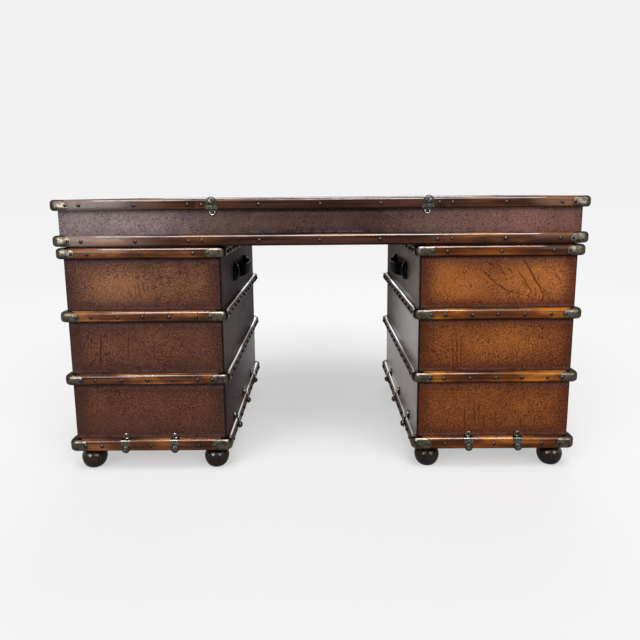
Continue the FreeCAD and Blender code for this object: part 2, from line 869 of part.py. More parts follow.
def build_unit():
    """Builds the top unit: its case, bands, caps, clamps and three frieze drawers."""
    panel = visitor_panel("frieze_visitor_panel", f"(-{case_end})", case_end, unit_floor, frieze_ceiling)
    node("frieze_visitor_panel", panel)
    right_end = span_box(
        "frieze_right_end",
        (minus(case_end, S.board), visitor_inside, unit_floor),
        (case_end, user_face, frieze_ceiling),
    )
    left_end = mirrored("frieze_left_end", right_end, X_AXIS)
    node("frieze_ends", group("frieze_ends", [right_end, left_end]))
    end_inside = minus(case_end, S.board)
    width = minus(S.case_width, S.board, S.board)
    base = shelf("base_board", f"(-{end_inside})", width, frieze_floor, unit_floor, S.rail_depth, True)
    node("frieze_base_board", base)
    divider_start = minus(S.slat_joint, half(S.board))
    divider_end = plus(S.slat_joint, half(S.board))
    right_divider = span_box(
        "frieze_right_divider",
        (divider_start, visitor_inside, frieze_floor),
        (divider_end, user_face, frieze_ceiling),
    )
    left_divider = mirrored("frieze_left_divider", right_divider, X_AXIS)
    node("frieze_dividers", group("frieze_dividers", [right_divider, left_divider]))
    board_top = minus(S.desk_height, skin, S.leather_sunk, S.leather)
    low, high = (f"(-{case_end})", visitor_face), (case_end, user_face)
    node("top_board", span_box("top_board", (*low, frieze_ceiling), (*high, board_top)))
    leather_top = plus(board_top, S.leather)
    node("writing_leather", span_box("writing_leather", (*low, board_top), (*high, leather_top)))
    node("unit_slats", unit_slats())
    node("unit_corner_caps", unit_caps())
    node("unit_slat_clamps", unit_clamps())
    side = drawer("right_frieze_drawer", divider_end, end_inside, frieze_floor, frieze_ceiling)
    for part, thing in side.items():
        node(f"right_frieze_drawer_{part}", thing)
        node(f"left_frieze_drawer_{part}", mirrored(f"left_frieze_drawer_{part}", thing, X_AXIS))
    centre = drawer("centre_drawer", f"(-{divider_start})", divider_start, frieze_floor, frieze_ceiling)
    for part, thing in centre.items():
        node(f"centre_drawer_{part}", thing)


def check_document():
    """Stops if any object failed or any sub-part's shape is null or not valid."""
    for thing in doc.Objects:
        if {"Invalid", "Error"} & set(thing.State):
            raise RuntimeError(f"{thing.Label}: {thing.State}")
    for thing in NODES:
        if thing.Shape.isNull() or not thing.Shape.isValid() or not thing.Shape.Solids:
            raise RuntimeError(f"{thing.Label}: no valid shape")
        if any(solid.Volume <= 0 for solid in thing.Shape.Solids):
            raise RuntimeError(f"{thing.Label}: a solid is inside out")


build_pedestals()
build_unit()
doc.recompute()
check_document()
os.makedirs("parts", exist_ok=True)
for thing in NODES:
    thing.Shape.exportStep(f"parts/{thing.Label}.step")
print(f"{len(NODES)} sub-parts, {sum(len(thing.Shape.Solids) for thing in NODES)} solids")
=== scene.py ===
import math
import random

import bmesh
import bpy
from mathutils import Matrix, Vector, noise


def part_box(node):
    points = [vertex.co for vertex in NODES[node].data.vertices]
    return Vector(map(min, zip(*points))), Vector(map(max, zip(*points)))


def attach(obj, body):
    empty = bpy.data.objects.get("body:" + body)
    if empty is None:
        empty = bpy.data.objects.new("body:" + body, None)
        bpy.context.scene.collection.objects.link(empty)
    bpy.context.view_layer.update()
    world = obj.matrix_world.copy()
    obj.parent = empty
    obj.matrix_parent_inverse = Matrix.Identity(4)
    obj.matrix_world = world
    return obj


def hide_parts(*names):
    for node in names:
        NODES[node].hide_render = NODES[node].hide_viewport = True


# Campaign desk: leather-clad pedestals and top unit, wooden slats with metal caps, clamps and nails.
# Metres. The visitor's side faces -Y, and the drawers open towards +Y.

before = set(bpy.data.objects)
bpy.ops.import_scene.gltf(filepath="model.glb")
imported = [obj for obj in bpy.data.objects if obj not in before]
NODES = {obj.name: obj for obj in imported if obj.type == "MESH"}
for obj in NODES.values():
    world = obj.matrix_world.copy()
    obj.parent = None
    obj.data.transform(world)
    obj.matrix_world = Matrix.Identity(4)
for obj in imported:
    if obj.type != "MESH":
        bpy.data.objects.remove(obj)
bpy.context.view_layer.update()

# --------------------------------------------------------------------------------------------------- places

leather_low, leather_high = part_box("writing_leather")
side_low, side_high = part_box("right_side_panels")
VISITOR, USER = leather_low.y, leather_high.y
MIDDLE = (VISITOR + USER) / 2
DEPTH = USER - VISITOR
UNIT_END = leather_high.x
UNIT = (-UNIT_END, UNIT_END)
INNER, OUTER = side_low.x, side_high.x
PEDESTALS = {"left": (-OUTER, -INNER), "right": (INNER, OUTER)}
PEDESTAL_MIDDLE = (OUTER + INNER) / 2
PEDESTAL_HALF = (OUTER - INNER) / 2
LONG_SIDES = ("visitor", "user")
SHORT_SIDES = ("left", "right")

# Each band of slats: its underside and its height, from the lowest up
PEDESTAL_BANDS = ((0.064, 0.034), (0.260, 0.030), (0.440, 0.030), (0.615, 0.030))
UNIT_BANDS = ((0.649, 0.030), (0.745, 0.030))
# The leather tiers between them, the frieze last: floor and ceiling
TIERS = [
    (floor + height, ceiling)
    for bands in (PEDESTAL_BANDS, UNIT_BANDS)
    for (floor, height), (ceiling, _) in zip(bands, bands[1:])
]

# How far slats and caps stand out of the panels
PROUD = 0.0155
CAP_REACH = 0.0172

UNIT_JOINTS = (-0.333, 0.333)
CLAMPS_UNIT = (-0.289, 0.289)
CLAMPS_FRONT = (-0.07, 0.07)
CLAMPS_SIDE = (-0.22, 0.0, 0.22)
HANDLE_Z = sum(TIERS[2]) / 2
HANDLE_PITCH = 0.24
FOOT_SET_BACK = 0.034

# -------------------------------------------------------------------------------------------------- helpers


def new_object(name, data):
    made = bpy.data.objects.new(name, data)
    bpy.context.scene.collection.objects.link(made)
    return made


def shift(x=0.0, y=0.0, z=0.0):
    return Matrix.Translation((x, y, z))


# --------------------------------------------------------------------------------------------------- camera

CAMERA = {"focal": 573.9, "cx": 317.87, "cy": 287.05, "at": (-0.00137, VISITOR - 1.5567, 0.782)}
CAMERA_YAW, CAMERA_PITCH, CAMERA_ROLL = -0.0037, 0.15918, -0.00843
FRAME_PIXELS = 640


def make_camera():
    data = bpy.data.cameras.new("camera")
    data.sensor_width = 36
    data.lens = CAMERA["focal"] / FRAME_PIXELS * data.sensor_width
    data.shift_x = (FRAME_PIXELS / 2 - CAMERA["cx"]) / FRAME_PIXELS
    data.shift_y = (CAMERA["cy"] - FRAME_PIXELS / 2) / FRAME_PIXELS
    data.clip_start = 0.05
    camera = new_object("camera", data)
    look = Matrix.Rotation(-CAMERA_YAW, 4, "Z") @ Matrix.Rotation(math.pi / 2 - CAMERA_PITCH, 4, "X")
    camera.matrix_world = Matrix.Translation(CAMERA["at"]) @ look @ Matrix.Rotation(CAMERA_ROLL, 4, "Z")
    bpy.context.scene.camera = camera


# ---------------------------------------------------------------------------------------------------- nodes


def feed(tree, socket, content):
    """Gives an input a number, a colour or another node's output."""
    if isinstance(content, bpy.types.NodeSocket):
        tree.links.new(content, socket)
    else:
        socket.default_value = content


def add(tree, kind, inputs=None, **settings):
    """Adds a shader or geometry node. An input's value is a number or another node's socket."""
    made = tree.nodes.new(kind)
    for name, setting in settings.items():
        setattr(made, name, setting)
    for key, content in (inputs or {}).items():
        feed(tree, made.inputs[key], content)
    return made


def calc(tree, operation, *values, clamp=False):
    made = add(tree, "ShaderNodeMath", dict(enumerate(values)), operation=operation, use_clamp=clamp)
    return made.outputs[0]


def plus(tree, first, second, clamp=False):
    return calc(tree, "ADD", first, second, clamp=clamp)


def minus(tree, first, second):
    return calc(tree, "SUBTRACT", first, second)


def times(tree, first, second, clamp=False):
    return calc(tree, "MULTIPLY", first, second, clamp=clamp)


def vector_calc(tree, operation, *values, **named):
    """The outputs of a sum with vectors: Vector and Value."""
    inputs = {**dict(enumerate(values)), **named}
    return add(tree, "ShaderNodeVectorMath", inputs, operation=operation).outputs


def shade(colour, share):
    return tuple(part * share for part in colour)


def blend_colours(tree, share, first, second, mode="MIX"):
    made = add(tree, "ShaderNodeMix", data_type="RGBA", blend_type=mode)
    feed(tree, made.inputs[0], share)
    for index, colour in ((6, first), (7, second)):
        feed(tree, made.inputs[index], (*colour, 1) if isinstance(colour, tuple) else colour)
    return made.outputs[2]


def ramp(tree, value, stops, kind="LINEAR"):
    """A colour ramp's output. A stop is (place, grey) or (place, (r, g, b))."""
    made = add(tree, "ShaderNodeValToRGB", {0: value})
    made.color_ramp.interpolation = kind
    elements = made.color_ramp.elements
    while len(elements) < len(stops):
        elements.new(1)
    for element, (place, colour) in zip(elements, stops):
        element.position = place
        element.color = (*colour, 1) if isinstance(colour, tuple) else (colour, colour, colour, 1)
    return made.outputs[0]


def remap(tree, value, low, high, to_low=0.0, to_high=1.0):
    """A soft step: low becomes to_low and high becomes to_high."""
    inputs = {0: value, 1: low, 2: high, 3: to_low, 4: to_high}
    return add(tree, "ShaderNodeMapRange", inputs, interpolation_type="SMOOTHSTEP").outputs[0]


def scaled(tree, vector, scale, rotation=(0, 0, 0)):
    """A vector turned and stretched, for grain that runs one way."""
    return add(tree, "ShaderNodeMapping", {"Vector": vector, "Scale": scale, "Rotation": rotation}).outputs[0]


def noise_of(tree, vector, scale, detail=3.0, rough=0.55, twist=0.0):
    inputs = {"Vector": vector, "Scale": scale, "Detail": detail, "Roughness": rough, "Distortion": twist}
    return add(tree, "ShaderNodeTexNoise", inputs).outputs[0]


def drift_of(tree, vector, scale, detail, reach):
    """A vector pushed about by noise, so that a pattern on it isn't straight."""
    push = add(tree, "ShaderNodeTexNoise", {"Vector": vector, "Scale": scale, "Detail": detail}).outputs[1]
    push = vector_calc(tree, "SCALE", push, Scale=reach)[0]
    return vector_calc(tree, "ADD", vector, push)[0]


def cells_of(tree, vector, scale):
    """How far each point is from the edge of its cell."""
    inputs = {"Vector": vector, "Scale": scale}
    return add(tree, "ShaderNodeTexVoronoi", inputs, feature="DISTANCE_TO_EDGE").outputs[0]


def new_group(name, inputs, outputs):
    """An empty shader node group and its in and out nodes. An input without a value is a vector."""
    tree = bpy.data.node_groups.new(name, "ShaderNodeTree")
    for label, default in inputs.items():
        kind = "NodeSocketVector" if default is None else "NodeSocketFloat"
        plug = tree.interface.new_socket(label, in_out="INPUT", socket_type=kind)
        if default is not None:
            plug.default_value = default
    for label in outputs:
        tree.interface.new_socket(label, in_out="OUTPUT", socket_type="NodeSocketFloat")
    return tree, tree.nodes.new("NodeGroupInput").outputs, tree.nodes.new("NodeGroupOutput").inputs


def give_out(tree, give, **results):
    for label, socket in results.items():
        tree.links.new(socket, give[label])


def use(tree, group, inputs):
    """Places a node group and returns its outputs."""
    return add(tree, "ShaderNodeGroup", inputs, node_tree=group).outputs


def make_leather_grain():
    """Pebbled grain, two nets of creases pulled across each other and long flowing wrinkles."""
    inputs = {"Vector": None, "Net": 120, "Seed": 0, "Upright": 0.5}
    tree, take, give = new_group("leather_grain", inputs, ("Height", "Crease", "Pebble"))
    shifted = vector_calc(tree, "ADD", take["Vector"], take["Seed"])[0]
    bent = drift_of(tree, shifted, 14, 4, 0.05)
    tall, wide = (
        remap(tree, cells_of(tree, scaled(tree, bent, pull), take["Net"]), 0.14, 0.01)
        for pull in ((1, 1, 0.3), (0.6, 0.6, 1))
    )
    lean = plus(tree, noise_of(tree, shifted, 5, 3), minus(tree, take["Upright"], 0.5))
    net = blend_colours(tree, remap(tree, lean, 0.46, 0.54), wide, tall)
    pebble = remap(tree, cells_of(tree, bent, times(tree, take["Net"], 2.2)), 0.0, 0.35)
    patches = remap(tree, noise_of(tree, shifted, 11, 3), 0.36, 0.6, 0.72, 1.0)
    wave = {"Vector": shifted, "Scale": 24, "Distortion": 11, "Detail": 4, "Detail Scale": 1.4}
    lines = remap(tree, add(tree, "ShaderNodeTexWave", wave, wave_profile="SAW").outputs[1], 0.84, 1.0)
    flow = times(tree, lines, remap(tree, noise_of(tree, shifted, 6, 2), 0.42, 0.6))
    crease = calc(tree, "MAXIMUM", times(tree, net, patches), times(tree, flow, 0.35))
    height = minus(tree, times(tree, pebble, 0.4), crease)
    give_out(tree, give, Height=height, Crease=crease, Pebble=pebble)
    return tree


def make_wood_grain():
    """Long fibres with pores and a slow figure, along the vector's X."""
    inputs = {"Vector": None, "Fibre": 150, "Seed": 0}
    tree, take, give = new_group("wood_grain", inputs, ("Fibre", "Figure", "Pores"))
    shifted = vector_calc(tree, "ADD", take["Vector"], take["Seed"])[0]
    long, slow, thin = (scaled(tree, shifted, (stretch, 1, 1)) for stretch in (0.035, 0.12, 0.06))
    fibre = add(tree, "ShaderNodeTexNoise", {"Vector": long, "Scale": take["Fibre"], "Detail": 5}).outputs[0]
    figure = noise_of(tree, slow, 34, 3, 0.5, 1.2)
    pores = remap(tree, noise_of(tree, thin, 520, 2), 0.66, 0.72)
    give_out(tree, give, Fibre=fibre, Figure=figure, Pores=pores)
    return tree


def tier_stops(*stops):
    """Ramp stops for every tier. A stop is its share of the way up, how far past that it is, and its grey."""
    return [
        (floor + share * (ceiling - floor) + past, grey)
        for floor, ceiling in TIERS
        for share, past, grey in stops
    ]


def make_patina_and_shade():
    """Each tier is light in its middle and dark round its edges, with clouds and dust, a dark line along the
    panel's sides, and painted shade along each tier's top and bottom, where the slats shade it.
    """
    inputs = {"Across": 0, "Up": 0, "Half": 0.2, "Vector": None}
    tree, take, give = new_group("patina_and_shade", inputs, ("Light", "Grime", "Dust"))
    glow = ((0, 0.1), (0.07, 0.2), (0.22, 0.75), (0.5, 1), (0.8, 0.9), (0.95, 0.5), (1, 0.2))
    tall = ramp(tree, take["Up"], tier_stops(*((share, 0, grey) for share, grey in glow)))
    clouds = noise_of(tree, take["Vector"], 6.5, 5, 0.62)
    ragged = times(tree, minus(tree, clouds, 0.5), 0.08)
    edge = minus(tree, take["Half"], calc(tree, "ABSOLUTE", take["Across"]))
    wide = remap(tree, minus(tree, edge, ragged), 0.0, 0.055)
    light = times(tree, tall, wide)
    cloudy = remap(tree, clouds, 0.3, 0.7, 0.66, 1.08)
    # Painted shade: dark along the bottom of each tier and under its top, where the slats cast shadow.
    under = ramp(tree, take["Up"], tier_stops(
        (0, 0, 0.9), (0, 0.0018, 0.9), (0, 0.0032, 0), (1, -0.006, 0), (1, -0.002, 1), (1, 0, 1)
    ))
    over = ramp(tree, take["Up"], tier_stops(
        (0, 0.002, 0), (0, 0.0045, 1), (0, 0.010, 0), (1, -0.020, 0), (1, -0.011, 0.6), (1, -0.006, 0)
    ))
    # The second output darkens the panel's sides and carries the painted shade along the slats.
    give_out(
        tree, give,
        Light=times(tree, light, cloudy, clamp=True),
        Grime=calc(tree, "MAXIMUM", remap(tree, edge, 0.0045, 0.0015), under),
        Dust=times(tree, over, remap(tree, noise_of(tree, take["Vector"], 40, 4), 0.35, 0.6)),
    )
    return tree


LEATHER_GRAIN = make_leather_grain()
WOOD_GRAIN = make_wood_grain()
PATINA_AND_SHADE = make_patina_and_shade()


def new_material(name):
    material = bpy.data.materials.new(name)
    material.use_nodes = True
    tree = material.node_tree
    tree.nodes.clear()
    surface = tree.nodes.new("ShaderNodeBsdfPrincipled")
    output = tree.nodes.new("ShaderNodeOutputMaterial")
    tree.links.new(surface.outputs[0], output.inputs[0])
    place = tree.nodes.new("ShaderNodeTexCoord").outputs["Object"]
    return material, tree, surface, place


def bump(tree, surface, height, distance, strength):
    made = add(tree, "ShaderNodeBump", {"Height": height, "Distance": distance, "Strength": strength})
    tree.links.new(made.outputs[0], surface.inputs["Normal"])


def set_surface(tree, surface, colour, roughness, **plain):
    """Colour and roughness may change over the surface. The plain values go straight to their sockets."""
    feed(tree, surface.inputs["Base Color"], colour)
    feed(tree, surface.inputs["Roughness"], roughness)
    for key, content in plain.items():
        surface.inputs[key.replace("_", " ")].default_value = content


def make_cut():
    """A straight cut between two points of the XZ plane, thinner towards its ends."""
    inputs = {"Spot": None, "From": None, "To": None, "Width": 0.001}
    tree, take, give = new_group("cut", inputs, ("Cut",))
    reach = vector_calc(tree, "SUBTRACT", take["Spot"], take["From"])[0]
    run = vector_calc(tree, "SUBTRACT", take["To"], take["From"])[0]
    along = vector_calc(tree, "DOT_PRODUCT", reach, run)["Value"]
    share = calc(tree, "DIVIDE", along, vector_calc(tree, "DOT_PRODUCT", run, run)["Value"], clamp=True)
    gap = vector_calc(tree, "SUBTRACT", reach, vector_calc(tree, "SCALE", run, Scale=share)[0])[0]
    from_middle = calc(tree, "ABSOLUTE", minus(tree, share, 0.5))
    width = times(tree, take["Width"], remap(tree, from_middle, 0.5, 0.2, 0.45, 1.0))
    distance = calc(tree, "DIVIDE", vector_calc(tree, "LENGTH", gap)["Value"], width)
    give_out(tree, give, Cut=remap(tree, distance, 1.0, 0.3))
    return tree


CUT = make_cut()

# Where the three tones of a hide are in its ramp
HIDE_STOPS = (0.0, 0.45, 1.0)
DUST = (0.14, 0.11, 0.12)
# How far inside a tier its shine begins
SHINE_EDGE = 0.01
OUTER_COAT = (0.08, 0.08, 0.08)
# Side panels further than this from the desk's middle are outer ones
SIDES_PART = 0.5
# Turns each grain direction to X
GRAIN_TURNS = {"x": (0, 0, 0), "y": (0, 0, -math.pi / 2), "z": (0, math.pi / 2, 0)}
WOOD_PAINTED_SHEEN = (0.26, 0.20, 0.20)
EDGE_TINT = (0.35, 0.34, 0.32, 1)


def add_cuts(tree, flat, cuts, marks, height):
    """Draws cuts, each with x, z, x, z and depth, into the dark marks and the height of the grain."""
    for x0, z0, x1, z1, depth in cuts:
        ends = {"From": (x0, 0, z0), "To": (x1, 0, z1), "Width": 0.0025 + 0.0010 * depth}
        line = use(tree, CUT, {"Spot": flat, **ends})["Cut"]
        line = times(tree, line, 0.55 + 0.45 * depth)
        marks = calc(tree, "MAXIMUM", marks, line)
        height = minus(tree, height, line)
    return marks, height


def add_spots(tree, value, flat, spots):
    """Lightens round spots, each with x, z, half width, half height and how much."""
    for x, z, wide, tall, amount in spots:
        near = vector_calc(tree, "ADD", flat, (-x, 0, -z))[0]
        near = vector_calc(tree, "MULTIPLY", near, (1 / wide, 1, 1 / tall))[0]
        reach = vector_calc(tree, "LENGTH", near)["Value"]
        value = plus(tree, value, remap(tree, reach, 1.0, 0.0, 0.0, amount))
    return value


def add_painted_sheen(tree, colour, share, place, marks, painted_sheen):
    """A painted sheen: the colour turns pale by the share of the way along, broken by clouds, creases and
    pores. It stands in for reflected light.
    """
    ends, left, right = painted_sheen
    painted_sheen_amount = times(tree, ramp(tree, share, ends), remap(tree, noise_of(tree, place, 9, 4), 0.25, 0.6, 0.6, 1.0))
    painted_sheen_amount = times(tree, painted_sheen_amount, remap(tree, marks, 0.0, 1.0, 1.0, 0.25))
    pores = remap(tree, noise_of(tree, place, 150, 3), 0.35, 0.6, 0.7, 1.05)
    painted_sheen_amount = times(tree, painted_sheen_amount, pores, clamp=True)
    return blend_colours(tree, painted_sheen_amount, colour, blend_colours(tree, share, left, right))


def on_outer_side(tree, x):
    """1 on the pedestals' outer sides and 0 on the kneehole's."""
    return calc(tree, "GREATER_THAN", calc(tree, "ABSOLUTE", x), SIDES_PART)


def side_coat(tree, x, y, z, shines):
    """The shine of a kneehole side, with a level for each tier near the visitor and near the user."""
    near, far = (
        ramp(tree, z, [
            (edge, level)
            for (floor, ceiling), level in zip(TIERS, row)
            for edge in (floor + SHINE_EDGE, ceiling - SHINE_EDGE)
        ])
        for row in shines
    )
    coat = blend_colours(tree, remap(tree, y, VISITOR, USER), near, far)
    return blend_colours(tree, on_outer_side(tree, x), coat, OUTER_COAT)


def panel_leather(
    name, across, centre, half, tones, tiers=(1, 1, 1, 1), cuts=(), painted_sheen=None, spots=(), outer=None,
    shines=None, **grained
):
    """Old polished leather on a board. Across names the axis that runs over the panel."""
    material, tree, surface, place = new_material(name)
    x, y, z = add(tree, "ShaderNodeSeparateXYZ", {0: place}).outputs
    run = calc(tree, "ABSOLUTE", x) if across == "both" else {"x": x, "y": y}[across]
    along = minus(tree, run, centre)
    patina_and_shade = use(tree, PATINA_AND_SHADE, {"Across": along, "Up": z, "Half": half, "Vector": place})
    grain = use(tree, LEATHER_GRAIN, {"Vector": place, **grained})
    level = ramp(tree, z, [(floor - 0.01, share) for (floor, _), share in zip(TIERS, tiers)], "CONSTANT")
    fleck = remap(tree, noise_of(tree, place, 300, 3), 0.35, 0.65, -0.13, 0.15)
    flat = vector_calc(tree, "MULTIPLY", drift_of(tree, place, 60, 3, 0.006), (1, 0, 1))[0]
    value = add_spots(tree, times(tree, patina_and_shade["Light"], level), flat, spots)
    value = plus(tree, value, times(tree, grain["Pebble"], 0.55))
    value = plus(tree, minus(tree, value, 0.2), fleck, clamp=True)
    colour = ramp(tree, value, list(zip(HIDE_STOPS, tones)))
    if outer:
        other = ramp(tree, value, list(zip(HIDE_STOPS, outer)))
        colour = blend_colours(tree, on_outer_side(tree, x), colour, other)
    marks, height = add_cuts(tree, flat, cuts, grain["Crease"], grain["Height"])
    dark = tones[0]
    worn_and_painted_light = blend_colours(tree, times(tree, marks, 0.82), colour, shade(dark, 0.36))
    worn_and_painted_light = blend_colours(tree, times(tree, patina_and_shade["Dust"], 0.55), worn_and_painted_light, DUST)
    # Darker along the panel's sides, and painted shade by the slats.
    worn_and_painted_light = blend_colours(tree, times(tree, patina_and_shade["Grime"], 0.85), worn_and_painted_light, shade(dark, 0.2))
    # A painted sheen: the frieze turns pale towards its ends, for the light that it reflects.
    if painted_sheen:
        share = calc(tree, "DIVIDE", plus(tree, along, half), 2 * half)
        worn_and_painted_light = add_painted_sheen(tree, worn_and_painted_light, share, place, marks, painted_sheen)
    if shines:
        coat, dull = side_coat(tree, x, y, z, shines), 0.28
    else:
        coat = times(tree, remap(tree, marks, 0.0, 1.0, 1.0, 0.1), remap(tree, value, 0.0, 0.8, 0.08, 0.36))
        dull = 0.42
    tree.links.new(coat, surface.inputs["Coat Weight"])
    rough = plus(tree, 0.36, times(tree, noise_of(tree, place, 14, 3), 0.22))
    set_surface(tree, surface, worn_and_painted_light, rough, Specular_IOR_Level=0.0, Coat_Roughness=dull)
    slow = times(tree, noise_of(tree, place, 7, 2), 2.2)
    bump(tree, surface, plus(tree, height, slow), 0.0006, 0.8)
    return material


def plain_leather(name, dark, light, gloss=0.45, level=0.25, coat=0.0):
    """Leather without a patina, for the writing surface and the straps."""
    material, tree, surface, place = new_material(name)
    grain = use(tree, LEATHER_GRAIN, {"Vector": place, "Net": 170, "Seed": 4.2})
    clouds = remap(tree, noise_of(tree, place, 8, 4), 0.3, 0.7)
    colour = blend_colours(tree, clouds, dark, light)
    colour = blend_colours(tree, times(tree, grain["Crease"], 0.5), colour, shade(dark, 0.45))
    rough = plus(tree, gloss - 0.08, times(tree, clouds, 0.14))
    set_surface(tree, surface, colour, rough, Specular_IOR_Level=level, Coat_Weight=coat, Coat_Roughness=0.15)
    bump(tree, surface, grain["Height"], 0.0003, 0.7)
    return material


def tone_of(tree):
    return add(tree, "ShaderNodeAttribute", attribute_name="tone").outputs["Fac"]


def polished_wood(
    name, axis, dark, warm, light, gloss=0.3, coat=0.14, rub_and_top_light=0.3, painted_sheen_amount=0.0, painted_light_sweep=(), top=0.6
):
    """French-polished wood with its grain along an axis. The tone attribute shades each length on its own."""
    material, tree, surface, place = new_material(name)
    along = scaled(tree, place, (1, 1, 1), GRAIN_TURNS[axis])
    tone = tone_of(tree)
    grain = use(tree, WOOD_GRAIN, {"Vector": along, "Seed": times(tree, tone, 9.0)})
    glow = remap(tree, noise_of(tree, scaled(tree, along, (0.4, 1, 1)), 13, 3), 0.38, 0.64)
    value = plus(tree, times(tree, grain["Figure"], 0.45), times(tree, glow, 0.6))
    value = times(tree, value, remap(tree, tone, 0.0, 1.0, 0.2, 1.1), clamp=True)
    across = add(tree, "ShaderNodeSeparateXYZ", {0: place}).outputs[0]
    # Painted light: lighter towards both ends of the case, darker in its middle.
    if painted_light_sweep:
        share = calc(tree, "DIVIDE", plus(tree, across, UNIT_END), 2 * UNIT_END)
        value = times(tree, value, ramp(tree, share, painted_light_sweep))
    colour = ramp(tree, value, [(0.0, dark), (0.5, warm), (1.0, light)])
    streak = remap(tree, grain["Fibre"], 0.32, 0.68, 0.42, 1.3)
    streaks = add(tree, "ShaderNodeCombineColor", {0: streak, 1: streak, 2: streak}).outputs[0]
    colour = blend_colours(tree, 1.0, colour, streaks, "MULTIPLY")
    colour = blend_colours(tree, times(tree, grain["Pores"], 0.6), colour, shade(dark, 0.4))
    facing = place.node.outputs["Normal"]
    upward = add(tree, "ShaderNodeSeparateXYZ", {0: facing}).outputs[2]
    # Upward-facing rounds turn lighter: partly rubbed wear, partly a painted highlight on the top edges. The
    # same mask adds real coat there.
    rubbed_and_lit = remap(tree, upward, 0.1, 0.6)
    colour = blend_colours(tree, times(tree, times(tree, rubbed_and_lit, glow), rub_and_top_light), colour, light)
    # Faces that point down turn darker: painted shade on the undersides.
    colour = blend_colours(tree, remap(tree, upward, -0.05, -0.6, 0.0, 0.75), colour, shade(dark, 0.3))
    # A painted sheen: the top unit's slats turn pale grey towards the left end, for the light that they
    # reflect.
    if painted_sheen_amount:
        colour = blend_colours(tree, remap(tree, across, -0.36, -0.68, 0.0, painted_sheen_amount), colour, WOOD_PAINTED_SHEEN)
    rough = plus(tree, gloss, times(tree, noise_of(tree, place, 30, 3), 0.16))
    set_surface(tree, surface, colour, rough, Specular_IOR_Level=0.0, Coat_Roughness=0.07)
    waxed = remap(tree, noise_of(tree, scaled(tree, along, (0.3, 1, 1)), 10, 2), 0.35, 0.6)
    shine = times(tree, rubbed_and_lit, waxed)
    if axis == "x":
        shine = times(tree, shine, remap(tree, upward, 0.86, 0.98, 1.0, 0.0))
    tree.links.new(plus(tree, coat, times(tree, shine, top)), surface.inputs["Coat Weight"])
    bump(tree, surface, plus(tree, grain["Fibre"], noise_of(tree, place, 12, 2)), 0.0003, 0.35)
    return material


def raw_wood(name, axis, dark, light):
    """Planed wood without polish, for boards and drawer boxes."""
    material, tree, surface, place = new_material(name)
    along = scaled(tree, place, (1, 1, 1), GRAIN_TURNS[axis])
    grain = use(tree, WOOD_GRAIN, {"Vector": along, "Fibre": 110.0, "Seed": 2.0})
    value = plus(tree, times(tree, grain["Figure"], 0.6), times(tree, grain["Fibre"], 0.4))
    colour = blend_colours(tree, remap(tree, value, 0.3, 0.7), dark, light)
    colour = blend_colours(tree, times(tree, grain["Pores"], 0.6), colour, shade(dark, 0.5))
    set_surface(tree, surface, colour, 0.62)
    bump(tree, surface, grain["Fibre"], 0.0004, 0.4)
    return material


def aged_metal(name, dark, light, gloss=0.28, spread=0.22, scale=60, rubbed_and_lit=False, coat=0.08):
    """Old cast or sheet metal with tarnish, dents and a shine where it is worn. Where asked, its tone darkens
    it part by part: the caps towards their rims, and the clamps as painted highlight and shade.
    """
    material, tree, surface, place = new_material(name)
    patches = remap(tree, noise_of(tree, place, scale, 5, 0.62), 0.32, 0.68, 0.08, 0.94)
    rough = minus(tree, gloss + spread, times(tree, patches, spread))
    if rubbed_and_lit:
        patches = times(tree, patches, tone_of(tree))
    colour = blend_colours(tree, patches, dark, light)
    specks = remap(tree, noise_of(tree, place, scale * 7, 2), 0.6, 0.7)
    colour = blend_colours(tree, times(tree, specks, 0.6), colour, shade(dark, 0.4))
    shine = {"Coat_Weight": coat, "Coat_Roughness": 0.12}
    set_surface(tree, surface, colour, rough, Metallic=1.0, Specular_Tint=EDGE_TINT, **shine)
    dents = plus(tree, noise_of(tree, place, 90, 3), times(tree, noise_of(tree, place, 500, 2), 0.2))
    bump(tree, surface, dents, 0.0012, 0.5)
    return material


# Colours from the deepest tone to the lightest
LEFT_HIDE = ((0.064, 0.028, 0.024), (0.128, 0.045, 0.020), (0.320, 0.122, 0.042))
DRAWER_HIDE = ((0.074, 0.027, 0.021), (0.160, 0.050, 0.018), (0.380, 0.130, 0.030))
RIGHT_HIDE = ((0.084, 0.024, 0.014), (0.200, 0.054, 0.011), (0.450, 0.140, 0.021))
# The kneehole sides: paler and greyer than the same hides outside, partly the hide's colour and partly a
# painted reflection of the pale surroundings.
LEFT_KNEEHOLE_HIDE_AND_SHEEN = ((0.070, 0.044, 0.054), (0.098, 0.066, 0.076), (0.150, 0.125, 0.110))
RIGHT_KNEEHOLE_HIDE_AND_SHEEN = ((0.120, 0.058, 0.042), (0.180, 0.110, 0.085), (0.300, 0.225, 0.190))
FRIEZE_HIDE = ((0.028, 0.012, 0.011), (0.054, 0.023, 0.020), (0.100, 0.044, 0.036))
UNIT_TONES = ((0.036, 0.013, 0.011), (0.130, 0.045, 0.018), (0.440, 0.180, 0.050))
LEFT_TONES = ((0.022, 0.009, 0.006), (0.142, 0.047, 0.018), (0.500, 0.200, 0.048))
SLAT_TONES = ((0.022, 0.007, 0.003), (0.150, 0.040, 0.008), (0.520, 0.175, 0.014))
BOARD_TONES = ((0.085, 0.042, 0.020), (0.190, 0.100, 0.048))
DRAWER_TONES = ((0.200, 0.115, 0.055), (0.420, 0.270, 0.140))
FOOT_TONES = ((0.012, 0.007, 0.004), (0.028, 0.016, 0.008), (0.070, 0.042, 0.018))
WRITING_TONES = ((0.056, 0.022, 0.012), (0.082, 0.032, 0.016))
STRAP_TONES = ((0.006, 0.005, 0.008), (0.014, 0.012, 0.017))
CAP_TONES = ((0.009, 0.007, 0.005), (0.096, 0.080, 0.060))
CLAMP_TONES = ((0.007, 0.006, 0.005), (0.150, 0.132, 0.105))
